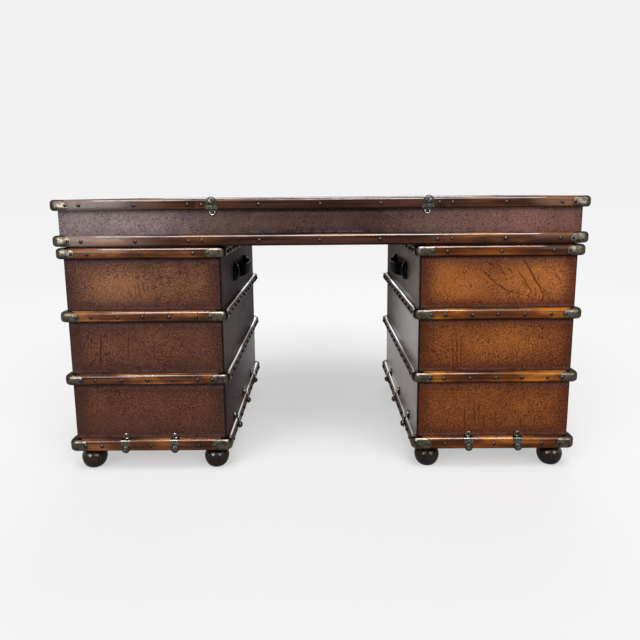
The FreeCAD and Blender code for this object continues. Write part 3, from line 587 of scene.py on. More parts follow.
NAIL_TONES = ((0.004, 0.003, 0.002), (0.024, 0.015, 0.011))
DARK_TONES = ((0.003, 0.003, 0.004), (0.014, 0.012, 0.014))
PULL_TONES = ((0.120, 0.085, 0.035), (0.420, 0.330, 0.170))
# How light the top unit's slats are along the case: painted light, lighter towards both ends for the sheen of
# light from the sides, darker in the middle
UNIT_PAINTED_LIGHT = ((0, 1.0), (0.24, 0.8), (0.4, 0.16), (0.58, 0.12), (0.75, 0.65), (1, 0.95))
PAINTED_SHEEN_ALONG = ((0, 0.88), (0.14, 0.95), (0.3, 0.32), (0.43, 0.0), (0.6, 0.0), (0.86, 0.85), (1, 0.6))
# The painted sheen on the frieze, a pale haze for the light that it reflects: how strong it is along the
# case, and its colours at the left and right
FRIEZE_PAINTED_SHEEN = (PAINTED_SHEEN_ALONG, (0.32, 0.26, 0.26), (0.30, 0.13, 0.09))
# How shiny the kneehole's sides are, tier by tier: near the visitor, then near the user
LEFT_SHINES = ((0.05, 0.14, 0.05, 0.1), (0.5, 0.1, 0.12, 0.1))
RIGHT_SHINES = ((1.0, 1.0, 0.28, 0.1), (0.85, 0.12, 0.06, 0.1))

# Places rubbed lighter: x, z, half width, half height and how much
LEFT_SPOTS = (
    (-0.55, 0.545, 0.13, 0.08, 0.52), (-0.43, 0.38, 0.08, 0.06, 0.16), (-0.56, 0.375, 0.09, 0.05, 0.14),
)
RIGHT_SPOTS = (
    (0.40, 0.54, 0.10, 0.06, 0.3), (0.60, 0.545, 0.13, 0.08, 0.4), (0.53, 0.37, 0.15, 0.07, 0.22),
    (0.50, 0.19, 0.14, 0.07, 0.15),
)
# Cuts and cracks: x, z, x, z and depth. Many more than these in one material are too many for the renderer.
RIGHT_CUTS = (
    (0.5583, 0.6069, 0.6173, 0.5075, 1.0), (0.5402, 0.5808, 0.5840, 0.5172, 0.8),
    (0.4449, 0.5791, 0.4872, 0.5401, 0.7), (0.4872, 0.5401, 0.5251, 0.5156, 0.8),
    (0.5114, 0.5075, 0.5356, 0.5254, 0.5), (0.5009, 0.5759, 0.5099, 0.5628, 0.6),
    (0.5114, 0.5889, 0.5296, 0.5677, 0.5), (0.5689, 0.5042, 0.5840, 0.5172, 0.55),
    (0.6445, 0.5694, 0.6627, 0.5466, 0.5), (0.4540, 0.6069, 0.4812, 0.5808, 0.35),
    (0.4872, 0.5938, 0.5054, 0.5677, 0.4), (0.5508, 0.5515, 0.5719, 0.5254, 0.5),
    (0.6113, 0.5300, 0.6385, 0.4900, 0.35), (0.5200, 0.5500, 0.5320, 0.5640, 0.35),
    (0.3683, 0.3968, 0.3739, 0.3016, 0.3), (0.3805, 0.4024, 0.3848, 0.3045, 0.3),
    (0.3930, 0.3938, 0.3970, 0.3102, 0.3), (0.4092, 0.1896, 0.4119, 0.1147, 0.6),
    (0.4186, 0.2251, 0.4261, 0.1924, 0.4), (0.4364, 0.2102, 0.4398, 0.1356, 0.6),
    (0.4505, 0.1893, 0.4518, 0.1445, 0.4), (0.4657, 0.1623, 0.4678, 0.1233, 0.55),
    (0.5697, 0.1556, 0.5724, 0.1165, 0.4),
)
LEFT_CUTS = (
    (-0.6094, 0.4072, -0.6185, 0.3063, 0.9), (-0.6333, 0.3340, -0.6496, 0.3109, 0.7),
    (-0.6360, 0.4132, -0.6676, 0.3589, 0.25), (-0.5335, 0.3981, -0.5375, 0.3318, 0.4),
    (-0.4640, 0.3832, -0.4655, 0.3284, 0.35), (-0.5689, 0.3190, -0.5302, 0.3143, 0.35),
    (-0.5302, 0.3143, -0.5001, 0.3068, 0.35), (-0.6680, 0.3905, -0.6739, 0.3300, 0.3),
    (-0.5096, 0.5473, -0.5047, 0.5139, 0.35), (-0.4984, 0.5528, -0.4926, 0.5110, 0.45),
    (-0.4858, 0.5583, -0.4800, 0.5165, 0.4), (-0.5253, 0.5336, -0.5214, 0.5084, 0.3),
    (-0.4729, 0.5471, -0.4688, 0.5220, 0.3),
)

FINISHES = {
    "left_front": panel_leather(
        "leather_left", "x", -PEDESTAL_MIDDLE, PEDESTAL_HALF, LEFT_HIDE, (0.42, 0.46, 0.68, 1), LEFT_CUTS,
        spots=LEFT_SPOTS, Net=265.0, Upright=0.6
    ),
    "right_front": panel_leather(
        "leather_right", "x", PEDESTAL_MIDDLE, PEDESTAL_HALF, RIGHT_HIDE, (0.6, 0.6, 0.95, 1), RIGHT_CUTS,
        spots=RIGHT_SPOTS, Net=280.0, Seed=3.0, Upright=0.57
    ),
    "left_side": panel_leather(
        "leather_left_side", "y", MIDDLE, DEPTH / 2, LEFT_KNEEHOLE_HIDE_AND_SHEEN, (0.5, 1, 0.6, 1), outer=LEFT_HIDE,
        shines=LEFT_SHINES, Net=215.0, Seed=6.0
    ),
    "right_side": panel_leather(
        "leather_right_side", "y", MIDDLE, DEPTH / 2, RIGHT_KNEEHOLE_HIDE_AND_SHEEN, (1, 0.9, 1, 1), outer=RIGHT_HIDE,
        shines=RIGHT_SHINES, Net=215.0, Seed=8.0
    ),
    "frieze": panel_leather(
        "leather_frieze", "x", 0.0, UNIT_END, FRIEZE_HIDE, painted_sheen=FRIEZE_PAINTED_SHEEN, Net=310.0, Seed=9.0,
        Upright=0.4
    ),
    "frieze_end": panel_leather("leather_end", "y", MIDDLE, DEPTH / 2, FRIEZE_HIDE, Net=220.0, Seed=2.0),
    "drawer_front": panel_leather(
        "leather_drawer", "both", PEDESTAL_MIDDLE, PEDESTAL_HALF - 0.008, DRAWER_HIDE, (0.5, 0.6, 0.7, 0.6),
        Net=225.0, Seed=12.0
    ),
    "frieze_drawer": panel_leather(
        "leather_frieze_drawer", "x", 0.0, UNIT_END, DRAWER_HIDE, (1, 1, 1, 0.45), Net=225.0, Seed=15.0
    ),
    "writing": plain_leather("leather_writing", *WRITING_TONES, 0.5),
    "strap": plain_leather("leather_strap", *STRAP_TONES, level=0.0, coat=0.05),
    "slat_left": polished_wood("slat_wood_left", "x", *LEFT_TONES),
    "slat_x": polished_wood("slat_wood_x", "x", *SLAT_TONES),
    "slat_y": polished_wood("slat_wood_y", "y", *SLAT_TONES, coat=0.15, rub_and_top_light=0.1, top=0.5),
    "unit_x": polished_wood("unit_wood_x", "x", *UNIT_TONES, painted_sheen_amount=0.6, painted_light_sweep=UNIT_PAINTED_LIGHT),
    "board_x": raw_wood("board_wood_x", "x", *BOARD_TONES),
    "board_y": raw_wood("board_wood_y", "y", *BOARD_TONES),
    "drawer": raw_wood("drawer_wood", "y", *DRAWER_TONES),
    "foot": polished_wood("foot_wood", "z", *FOOT_TONES, 0.2, 0.25, 0.0),
    "cap": aged_metal("cap_metal", *CAP_TONES, 0.2, 0.2, 85, True, 0.2),
    "clamp": aged_metal("clamp_metal", *CLAMP_TONES, 0.16, 0.14, 140, True, 0.45),
    "nail": aged_metal("nail_metal", *NAIL_TONES, 0.2, 0.15, 200, coat=0.25),
    "dark": aged_metal("dark_metal", *DARK_TONES, 0.38, 0.15),
    "brass": aged_metal("pull_metal", *PULL_TONES),
}

# --------------------------------------------------------------------------------------------------- shapes


class Shape:
    """Closed surfaces, as vertices, faces, one material index for each face and a tone for each vertex."""

    def __init__(self, points=(), faces=(), index=0, tone=0.5):
        self.points = [Vector(point) for point in points]
        self.faces = [tuple(face) for face in faces]
        self.indices = [index] * len(self.faces)
        self.tones = [tone] * len(self.points)

    def join(self, other, matrix=None, index=None, tone=None):
        start = len(self.points)
        self.points += [matrix @ point if matrix else point.copy() for point in other.points]
        self.faces += [tuple(start + corner for corner in face) for face in other.faces]
        self.indices += other.indices if index is None else [index] * len(other.faces)
        self.tones += other.tones if tone is None else [tone] * len(other.points)
        return self


def finish_piece(name, shape, finishes, body, replaced=(), crease=38):
    """Makes the piece's object, smooth but for its edges sharper than the crease angle in degrees."""
    mesh = bpy.data.meshes.new(name)
    mesh.from_pydata([tuple(point) for point in shape.points], [], shape.faces)
    mesh.polygons.foreach_set("material_index", shape.indices)
    tone = mesh.attributes.new("tone", "FLOAT", "POINT")
    tone.data.foreach_set("value", shape.tones)
    work = bmesh.new()
    work.from_mesh(mesh)
    bmesh.ops.recalc_face_normals(work, faces=work.faces)
    for face in work.faces:
        face.smooth = True
    limit = math.radians(crease)
    for edge in work.edges:
        edge.smooth = len(edge.link_faces) == 2 and edge.calc_face_angle(0) < limit
    work.to_mesh(mesh)
    work.free()
    for finish in finishes:
        mesh.materials.append(FINISHES[finish])
    piece = new_object(name, mesh)
    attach(piece, body)
    if replaced:
        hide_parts(*replaced)
    return piece


def grid_faces(rows, columns, start=0, wrap_rows=False, wrap_columns=False):
    faces = []
    for i in range(rows if wrap_rows else rows - 1):
        for j in range(columns if wrap_columns else columns - 1):
            a, b = i * columns, (i + 1) % rows * columns
            c = (j + 1) % columns
            faces.append((start + a + j, start + b + j, start + b + c, start + a + c))
    return faces


def tube(rings, closed=False):
    """A closed skin through rings of points, with flat ends unless it is a loop."""
    rows, columns = len(rings), len(rings[0])
    faces = grid_faces(rows, columns, wrap_rows=closed, wrap_columns=True)
    if not closed:
        faces += [tuple(range(columns)), tuple((rows - 1) * columns + j for j in reversed(range(columns)))]
    return Shape([point for ring in rings for point in ring], faces)


def shell(outer, inner):
    """A sheet with thickness between two grids of points."""
    rows, columns = len(outer), len(outer[0])
    count = rows * columns
    points = [point for grid in (outer, inner) for row in grid for point in row]
    faces = grid_faces(rows, columns) + [tuple(reversed(face)) for face in grid_faces(rows, columns, count)]
    rim = [j for j in range(columns)]
    rim += [i * columns + columns - 1 for i in range(1, rows)]
    rim += [(rows - 1) * columns + j for j in reversed(range(columns - 1))]
    rim += [i * columns for i in reversed(range(1, rows - 1))]
    for one, two in zip(rim, rim[1:] + rim[:1]):
        faces.append((one, two, two + count, one + count))
    return Shape(points, faces)


def turned(profile, segments=32):
    """A profile of (radius, height) turned about Z. Its ends are on the axis."""
    points = [(0, 0, profile[0][1])]
    ring = [(math.cos(a), math.sin(a)) for a in (math.tau * k / segments for k in range(segments))]
    body = profile[1:-1]
    for radius, height in body:
        points += [(radius * c, radius * s, height) for c, s in ring]
    points.append((0, 0, profile[-1][1]))
    last = len(points) - 1
    faces = grid_faces(len(body), segments, 1, wrap_columns=True)
    faces += [(0, 1 + (k + 1) % segments, 1 + k) for k in range(segments)]
    tail = 1 + (len(body) - 1) * segments
    faces += [(last, tail + k, tail + (k + 1) % segments) for k in range(segments)]
    return Shape(points, faces)


def rounded_box(low, high, radius, segments):
    """A box with every edge rounded."""
    work = bmesh.new()
    bmesh.ops.create_cube(work, size=1)
    low, high = Vector(low), Vector(high)
    for vertex in work.verts:
        vertex.co = Vector([a + (b - a) * (c + 0.5) for a, b, c in zip(low, high, vertex.co)])
    edges = list(work.edges)
    bmesh.ops.bevel(work, geom=edges, offset=radius, segments=segments, profile=0.5, affect="EDGES")
    work.verts.index_update()
    shape = Shape([v.co for v in work.verts], [[v.index for v in f.verts] for f in work.faces])
    work.free()
    return shape


def arc(centre, radius, start, end, steps):
    """Points on an arc in a plane, angles in degrees."""
    angles = [math.radians(start + (end - start) * k / steps) for k in range(steps + 1)]
    return [(centre[0] + radius * math.cos(a), centre[1] + radius * math.sin(a)) for a in angles]


def smooth_path(points, steps=6):
    """A Catmull-Rom line through points of any size."""
    points = [Vector(point) for point in points]
    line = []
    for index in range(len(points) - 1):
        a = points[max(index - 1, 0)]
        b, c = points[index], points[index + 1]
        d = points[min(index + 2, len(points) - 1)]
        for step in range(steps):
            t = step / steps
            bend = (2 * a - 5 * b + 4 * c - d) * t**2 + (3 * b - a - 3 * c + d) * t**3
            line.append(0.5 * (2 * b + (c - a) * t + bend))
    return [*line, points[-1]]


def side_matrix(side, x0, x1):
    """From a run along X that faces +Y at y = 0 to one side of a case."""
    if side == "user":
        return shift(y=USER)
    if side == "visitor":
        return shift(y=VISITOR) @ Matrix.Diagonal((1, -1, 1, 1))
    if side == "right":
        return shift(x=x1, y=MIDDLE) @ Matrix.Rotation(-math.pi / 2, 4, "Z")
    return shift(x=x0, y=MIDDLE) @ Matrix.Diagonal((-1, 1, 1, 1)) @ Matrix.Rotation(-math.pi / 2, 4, "Z")


def corner_matrices(x0, x1):
    """From the corner towards +X and +Y to each corner of a case."""
    return [
        shift(x, y) @ Matrix.Diagonal((sx, sy, 1, 1))
        for sx, x in ((-1, x0), (1, x1))
        for sy, y in ((-1, VISITOR), (1, USER))
    ]


# ---------------------------------------------------------------------------------------------------- slats

# A slat keeps this much inside its band's height. Its upper edge is rounder than its lower one.
SLAT_CLEAR = 0.0004
LOWER_ROUND, UPPER_ROUND = 0.0048, 0.008
# About how long a slat's straight parts are between its waves
SLAT_STEP = 0.025
# Half the gap between two lengths of a band
LENGTHS_GAP = 0.0003


def slat(start, end, height, seed):
    """A moulded slat with rounded edges and the slight waves of hand work."""
    low, high = SLAT_CLEAR, height - SLAT_CLEAR
    edge = [(0.0, low)]
    edge += arc((PROUD - LOWER_ROUND, low + LOWER_ROUND), LOWER_ROUND, -90, 0, 6)
    edge += arc((PROUD - UPPER_ROUND, high - UPPER_ROUND), UPPER_ROUND, 0, 90, 8)
    edge.append((0.0, high))
    rings = []
    steps = max(2, round((end - start) / SLAT_STEP))
    for step in range(steps + 1):
        x = start + (end - start) * step / steps
        wave = noise.noise((x * 9, seed, 0.3)) * 0.0006
        lift = noise.noise((x * 7, seed, 5.3)) * 0.0004
        rings.append([(x, out + wave * (out / PROUD), z + lift * (out / PROUD)) for out, z in edge])
    return tube(rings)


# How light each band is, from the lowest up. A band of several lengths has a tone for each.
SHADES = {
    # The kneehole sides' slats get the darkest tone: painted shade of the kneehole.
    "left": {"visitor": (0.6, 1.05, 0.62, 0.66), "right": (0.0, 0.0, 0.0, 0.0)},
    "right": {"visitor": (0.6, 0.75, 0.9, 0.5), "left": (0.0, 0.0, 0.0, 0.0)},
    "unit": {"visitor": ((0.95, 0.85, 0.85), (0.55, 0.5, 0.6))},
}
# The tone of every band on the sides that aren't named above
OTHER_TONES = (0.35, 0.35, 0.35, 0.35)


def slats_of(bands, x0, x1, joints, seed, tones):
    """Every slat of a case, with tones by band. Long sides have material 0 and short ones material 1."""
    pick = random.Random(seed)
    shape = Shape()
    for band, (z, height) in enumerate(bands):
        for side in (*LONG_SIDES, *SHORT_SIDES):
            long = side in LONG_SIDES
            if long:
                marks = [x0, *joints, x1]
            else:
                marks = [-DEPTH / 2, DEPTH / 2]
            for start, end in zip(marks, marks[1:]):
                tone = tones.get(side, OTHER_TONES)[band]
                if isinstance(tone, tuple):
                    tone = tone[marks.index(start)]
                tone += pick.uniform(-0.06, 0.06)
                run = slat(start + LENGTHS_GAP, end - LENGTHS_GAP, height, pick.uniform(0, 50))
                matrix = side_matrix(side, x0, x1) @ shift(z=z)
                shape.join(run, matrix, 0 if long else 1, tone)
    return shape


# ----------------------------------------------------------------------------------------------------- caps

# The corner's round is about a point this far inside the panels' corner
CAP_CENTRE = -0.0027
CAP_SHEET = 0.0013
# How far its face swells out at the middle of its height
CAP_SWELL = 0.0006
# Where the cap's top and bottom edges start and where their flat ends
CAP_FOOT, CAP_LIP = 0.0004, 0.0055
# The length along each slat at the edges, and how much further the tongue goes
CAP_ARM, CAP_TONGUE = 0.014, 0.023


def corner_cap(height):
    """Sheet metal round a band's corner, with a rounded tongue along each slat."""
    middle = height / 2
    edge = [(CAP_FOOT, 0.0), (CAP_LIP, 0.0)]
    edge += arc((CAP_REACH - 0.0085, 0.0085), 0.0085, -90, 0, 7)
    edge += [(CAP_REACH, z) for z in (height * 0.42, middle, height * 0.58)]
    edge += arc((CAP_REACH - 0.0095, height - 0.0095), 0.0095, 0, 90, 7)
    edge += [(CAP_LIP, height), (CAP_FOOT, height)]
    grids = []
    for inset in (0.0, CAP_SHEET):
        rows = []
        for out, z in edge:
            swell = CAP_SWELL * math.sin(math.pi * min(max(z / height, 0), 1)) if out > 0.012 else 0
            face = max(out - inset + (0 if inset else swell), CAP_FOOT)
            up = min(max(z, inset), height - inset)
            share = abs(z - middle) / middle
            tongue = CAP_TONGUE * math.sqrt(max(1 - share**2.2, 0)) if out > 0.009 else 0
            arm = CAP_ARM + tongue
            radius = face - CAP_CENTRE
            row = [(-arm + (arm + CAP_CENTRE) * k / 6, face, up) for k in range(7)]
            row += [(*point, up) for point in arc((CAP_CENTRE, CAP_CENTRE), radius, 90, 0, 10)[1:]]
            row += [(face, CAP_CENTRE - (arm + CAP_CENTRE) * k / 6, up) for k in range(1, 7)]
            rows.append(row)
        grids.append(rows)
    cap = shell(*grids)
    # The cap is darker towards its top and bottom rims.
    cap.tones = [1 - 0.75 * min(abs(point[2] - middle) / middle, 1) ** 5 for point in cap.points]
    return cap


def caps_of(bands, x0, x1):
    shape = Shape()
    for z, height in bands:
        cap = corner_cap(height)
        for matrix in corner_matrices(x0, x1):
            shape.join(cap, matrix @ shift(z=z))
    return shape


# --------------------------------------------------------------------------------------------------- clamps


def dome(radius, height, rim=0.0, segments=20):
    """A round head on Z, with a thin rim of the given width under it."""
    profile = [(0, 0), (radius + rim, 0)]
    if rim:
        profile += [(radius + rim, 0.0006), (radius, 0.001)]
    base = 0.001 if rim else 0.0
    for step in range(1, 8):
        angle = math.pi / 2 * step / 7
        profile.append((radius * math.cos(angle), base + (height - base) * math.sin(angle)))
    return turned(profile[:-1] + [(0, height)], segments)


def ring(radius, thickness):
    """A round eye about Z."""
    section = [math.tau * j / 8 for j in range(8)]
    rings = []
    for k in range(20):
        angle = math.tau * k / 20
        c, s = math.cos(angle), math.sin(angle)
        reaches = [(radius + thickness * math.cos(b), thickness * math.sin(b)) for b in section]
        rings.append([(reach * c, reach * s, z) for reach, z in reaches])
    return tube(rings, closed=True)


# From a round head on Z to one that faces +Y
FACING = Matrix.Rotation(-math.pi / 2, 4, "X")

CLAMP_SHEET = 0.0014
# How far the clamp's tab and the eye on it reach above the slat
CLAMP_TAB, EYE_Z = 0.0155, 0.0068
# The middle of its domed end above the band's underside, and that end's radius
LOBE_Z, LOBE_RADIUS = 0.0065, 0.0115
# Where its points are, as shares of its half width
CLAMP_SPREAD = (-1, -0.72, -0.36, 0, 0.36, 0.72, 1)


def clamp_line(height):
    """The clamp's outer face from its tab down to its domed end, as (out, height, half width)."""
    line = []
    for step in range(7):
        t = step / 6
        half = 0.0105 * math.sqrt(max(1 - (1 - t) ** 2, 0.02)) if t < 0.6 else 0.0095
        line.append((0.0012, height + CLAMP_TAB - 0.015 * t, half))
    line += [(0.004, height, 0.0105), (0.0085, height, 0.0135)]
    line += [(out, z, 0.014) for out, z in arc((CAP_REACH - 0.005, height - 0.005), 0.005, 90, 0, 5)]
    line += [(CAP_REACH, height * 0.62, 0.0128), (CAP_REACH, height * 0.5, 0.0118)]
    for step in range(9):
        angle = math.radians(58 - step * 148 / 8)
        half = max(LOBE_RADIUS * math.cos(angle), 0.0012)
        line.append((CAP_REACH, LOBE_Z + LOBE_RADIUS * math.sin(angle), half))
    return line


def slat_clamp(height, wide=1.0, stands=0.0038, tone=0.9):
    """A strap bent over a slat: a tab with an eye on the panel, a waisted plate and a domed end below."""
    line = [(out, z, half * wide) for out, z, half in clamp_line(height)]
    outer, inner = [], []
    for index, (out, z, half) in enumerate(line):
        before, after = line[max(index - 1, 0)], line[min(index + 1, len(line) - 1)]
        along = Vector((after[0] - before[0], after[1] - before[1])).normalized()
        away = Vector((along[1], -along[0])) * -CLAMP_SHEET
        drop = abs(away[1]) * (1 if out > 0.003 else 0)
        outer.append([(half * s, out, z) for s in CLAMP_SPREAD])
        inner.append([(half * s, out - abs(away[0]), z - drop) for s in CLAMP_SPREAD])
    shape = shell(outer, inner)
    shape.tones = [tone * (0.3 if point.z > height + 0.001 else 0.8) for point in shape.points]
    knob = dome(0.0098, stands, 0.0016)
    # The dome turns lighter towards its top: a painted highlight that makes the low dome look round.
    knob.tones = [0.06 + tone * (point.z / stands) ** 5 for point in knob.points]
    shape.join(knob, shift(0, CAP_REACH, LOBE_Z) @ FACING)
    # The eye ring is painted pale, a painted highlight, and the button in it dark, a painted shade for the
    # hole.
    shape.join(ring(0.0068, 0.0019), shift(0, 0.0028, height + EYE_Z) @ FACING, tone=2.2)
    shape.join(dome(0.0044, 0.0030), shift(0, 0.0014, height + EYE_Z) @ FACING, tone=0.1)
    shape.join(dome(0.0022, 0.0012, segments=12), shift(0, CAP_REACH, height * 0.72) @ FACING)
    return shape


def pedestal_clamps():
    shape = Shape()
    z, height = PEDESTAL_BANDS[0]
    clamp, round_clamp = slat_clamp(height), slat_clamp(height, 1.0, 0.009, 0.5)
    for ends in PEDESTALS.values():
        for x in CLAMPS_FRONT:
            shape.join(clamp, side_matrix("visitor", *ends) @ shift(sum(ends) / 2 + x, 0, z))
        for side in SHORT_SIDES:
            for y in CLAMPS_SIDE:
                shape.join(round_clamp, side_matrix(side, *ends) @ shift(y, 0, z))
    return shape


def unit_clamps():
    """The clamps on the top unit's upper band, upside down."""
    shape = Shape()
    z, height = UNIT_BANDS[1]
    clamp = slat_clamp(height, 1.2)
    for x in CLAMPS_UNIT:
        upside = shift(x, 0, z + height) @ Matrix.Diagonal((1, 1, -1, 1))
        shape.join(clamp, side_matrix("visitor", *UNIT) @ upside)
    return shape


# ----------------------------------------------------------------------------------------- feet and handles


def bun_foot():
    """A foot turned about Z: a bun on a small pad, then a neck and a ring under the case."""
    knots = [(0.017, 0.0), (0.0205, 0.0012), (0.0268, 0.0065), (0.0325, 0.0165), (0.0355, 0.0295)]
    knots += [(0.0338, 0.0415), (0.0285, 0.0505), (0.0232, 0.0548)]
    profile = [(radius, z) for radius, z in smooth_path(knots, 4)]
    profile = [(0, 0), *profile, (0.0222, 0.0556), (0.0232, 0.0575), (0.0232, 0.0638), (0, 0.064)]
    return turned(profile, 40)


def feet():
    shape = Shape()
    foot = bun_foot()
    for x0, x1 in PEDESTALS.values():
        for x in (x0 + FOOT_SET_BACK, x1 - FOOT_SET_BACK):
            for y in (VISITOR + FOOT_SET_BACK, USER - FOOT_SET_BACK):
                shape.join(foot, shift(x, y), tone=0.4)
    return shape


# Round the strap, as shares of its half width and half thickness, with a stitched groove near each edge
STRAP_SECTION = (
    (-1, -0.9), (-0.94, -1), (0, -1), (0.94, -1), (1, -0.9), (1, 0.35), (0.92, 0.75), (0.78, 0.55),
    (0.5, 1.0), (0, 1.15), (-0.5, 1.0), (-0.78, 0.55), (-0.92, 0.75), (-1, 0.35),
)
STRAP_HALF_THICK = 0.0022
# How far out the strap's outer face is under the rosettes
STRAP_TOP = 0.005
# Half the width at the crest, and how much is added at the rosettes
STRAP_HALF_WIDTH, STRAP_FLARE = 0.0165, 0.0095


def strap():
    """A stitched leather strap along X that arches out along Y, with its tails under the rosettes."""
    half = HANDLE_PITCH / 2
    knots = [(-half - 0.021, 0.0026), (-half, 0.0026), (-half + 0.029, 0.0028), (-half + 0.036, 0.0092)]
    knots += [(-half + 0.046, 0.0185), (-half + 0.062, 0.0268), (-0.028, 0.0315), (0.0, 0.0322)]
    knots += [(-x, y) for x, y in reversed(knots[:-1])]
    line = smooth_path(knots, 5)
    rings = []
    for index, point in enumerate(line):
        before, after = line[max(index - 1, 0)], line[min(index + 1, len(line) - 1)]
        along = (after - before).normalized()
        away = Vector((-along[1], along[0]))
        if away[1] < 0:
            away = -away
        reach = abs(point[0]) / half
        half_width = STRAP_HALF_WIDTH + STRAP_FLARE * min(reach, 1) ** 1.6
        rings.append([])
        for across, thick in STRAP_SECTION:
            spot = point + away * (thick * STRAP_HALF_THICK)
            rings[-1].append((spot[0], spot[1], across * half_width))
    return tube(rings)


def rosette():
    """A domed rosette with a beaded rim and a button in its middle, on Z."""
    profile = [(0, 0), (0.0296, 0), (0.03, 0.0012), (0.0292, 0.0028), (0.0275, 0.0034), (0.0258, 0.0026)]
    profile += [(0.0245, 0.0032), (0.0225, 0.0058), (0.019, 0.0082), (0.014, 0.0098), (0.0098, 0.0102)]
    profile += [(0.0088, 0.0098), (0.008, 0.0104), (0.0066, 0.0115), (0.004, 0.0119), (0, 0.012)]
    shape = turned(profile, 40)
    bead = dome(0.0013, 0.0011, segments=8)
    for step in range(24):
        angle = math.tau * step / 24
        shape.join(bead, shift(0.0268 * math.cos(angle), 0.0268 * math.sin(angle), 0.003))
    return shape


def handles():
    straps, rosettes = Shape(), Shape()
    one_strap, one_rosette = strap(), rosette()
    for ends in PEDESTALS.values():
        for side in SHORT_SIDES:
            matrix = side_matrix(side, *ends) @ shift(z=HANDLE_Z)
            straps.join(one_strap, matrix)
            for x in (-HANDLE_PITCH / 2, HANDLE_PITCH / 2):
                rosettes.join(one_rosette, matrix @ shift(x, STRAP_TOP, 0) @ FACING)
    return straps, rosettes


# -------------------------------------------------------------------------------------------------- drawers

# The rod's distance from the drawer front, the ears' faces from the middle, their nose radius and their hole
ROD_OUT = 0.009
EAR_FACES = (0.0336, 0.0406)
EAR_NOSE, EAR_HOLE = 0.0055, 0.00255


def plate_body():
    """A thin plate in the XZ plane with notched corners and a bevelled front."""
    notch = [(0.06, 0.009), (0.0545, 0.0105), (0.054, 0.015)]
    outline = []
    for sx, sz in ((1, -1), (1, 1), (-1, 1), (-1, -1)):
        points = notch if sx * sz > 0 else notch[::-1]
        outline += [(sx * x, sz * z) for x, z in points]
    rings = []
    for out, shrink in ((0.0, 0.0), (0.0012, 0.0), (0.002, 0.0012)):
        rings.append([(x - math.copysign(shrink, x), out, z - math.copysign(shrink, z)) for x, z in outline])
    return tube(rings)


def plate_ear(side):
    """A round-nosed ear with a hole for the rod. Side is -1 or 1."""
    grids = []
    for x in EAR_FACES:
        outline, hole = [], []
        for step in range(24):
            angle = math.tau * step / 24
            c, s = math.cos(angle), math.sin(angle)
            if c < 0:
                reach = min(0.0076 / max(-c, 1e-6), EAR_NOSE / max(abs(s), 1e-6))
            else:
                reach = EAR_NOSE
            outline.append((side * x, ROD_OUT + reach * c, reach * s))
            hole.append((side * x, ROD_OUT + EAR_HOLE * c, EAR_HOLE * s))
        grids.append((outline, hole))
    (first, first_hole), (second, second_hole) = grids
    return tube([first, second, second_hole, first_hole], closed=True)


def pull_plate():
    """A bevelled plate facing +Y, with two ears that hold the rod and two screws."""
    shape = Shape()
    shape.join(plate_body())
    screw = dome(0.0032, 0.0013, segments=16)
    for side in (-1, 1):
        shape.join(plate_ear(side))
        shape.join(screw, shift(side * 0.0495, 0.0019, 0) @ FACING)
    return shape


# Where the bail has its raised beads, from the middle, and the rod's half length and radius
BAIL_BEADS = (0.0165, 0.0215)
ROD_HALF, ROD_RADIUS = 0.0435, 0.0024


def drop_bail():
    """A cast bail that swells at its middle, hung from a rod on X. It faces +Y."""
    knots = [(-0.0445, 0.0028), (-0.0445, -0.006), (-0.0443, -0.0165), (-0.0412, -0.0232), (-0.034, -0.0258)]
    knots += [(-0.018, -0.0258), (0.0, -0.0259)]
    knots += [(-x, z) for x, z in reversed(knots[:-1])]
    line = smooth_path(knots, 6)
    rings = []
    for index, point in enumerate(line):
        before, after = line[max(index - 1, 0)], line[min(index + 1, len(line) - 1)]
        along = (after - before).normalized()
        across = Vector((-along[1], along[0]))
        reach = abs(point[0])
        girth = 0.0026 + 0.0009 * math.exp(-((reach / 0.011) ** 2))
        beads = [math.exp(-(((reach - bead) / 0.0016) ** 2)) for bead in BAIL_BEADS]
        girth += 0.0007 * sum(beads)
        if reach > 0.043:
            girth += 0.0006
        row = []
        for k in range(10):
            angle = math.tau * k / 10
            spot = point + across * (girth * math.cos(angle))
            row.append((spot[0], min(girth, 0.003) * math.sin(angle), spot[1]))
        rings.append(row)
    shape = tube(rings)
    angles = [math.tau * k / 14 for k in range(14)]
    rod = [
        [(x, ROD_RADIUS * math.cos(angle), ROD_RADIUS * math.sin(angle)) for angle in angles]
        for x in (-ROD_HALF, ROD_HALF)
    ]
    return shape.join(tube(rod))


def drawers():
    """Clads every drawer front and hangs its pull."""
    plate, bail = pull_plate(), drop_bail()
    for node in sorted(NODES):
        if not node.endswith("_front"):
            continue
        name = node[: -len("_front")]
        low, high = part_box(node)
        front = rounded_box(low, high, 0.0028, 4)
        hide = "frieze_drawer" if low.z > TIERS[3][0] - 0.01 else "drawer_front"
        finish_piece(f"{name}_clad_front", front, [hide], name, [node])
        low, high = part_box(f"{name}_pull_plate")
        middle = shift((low.x + high.x) / 2, low.y, (low.z + high.z) / 2)
        shape = Shape().join(plate, middle)
        finish_piece(f"{name}_cast_plate", shape, ["brass"], name, [f"{name}_pull_plate"])
        shape = Shape().join(bail, middle @ shift(y=ROD_OUT))
        finish_piece(f"{name}_cast_bail", shape, ["brass"], f"{name}_pull", [f"{name}_bail"])


# ---------------------------------------------------------------------------------------------------- nails

NAIL_INPUTS = (
    ("Geometry", "Geometry", None), ("Radius", "Float", 0.005), ("Rise", "Float", 0.68),
    ("Spread", "Float", 0.12), ("Seed", "Int", 7), ("Material", "Material", None),
)
# Nails on the user's side have flatter heads, so that the desk keeps its depth
FLAT_HEAD = 0.3
# How far a head's middle is outside the wood or metal that it holds
HEAD_OUT = 0.0002
# How far a cap's nail is from the panels' corner
CAP_NAIL_IN = 0.03
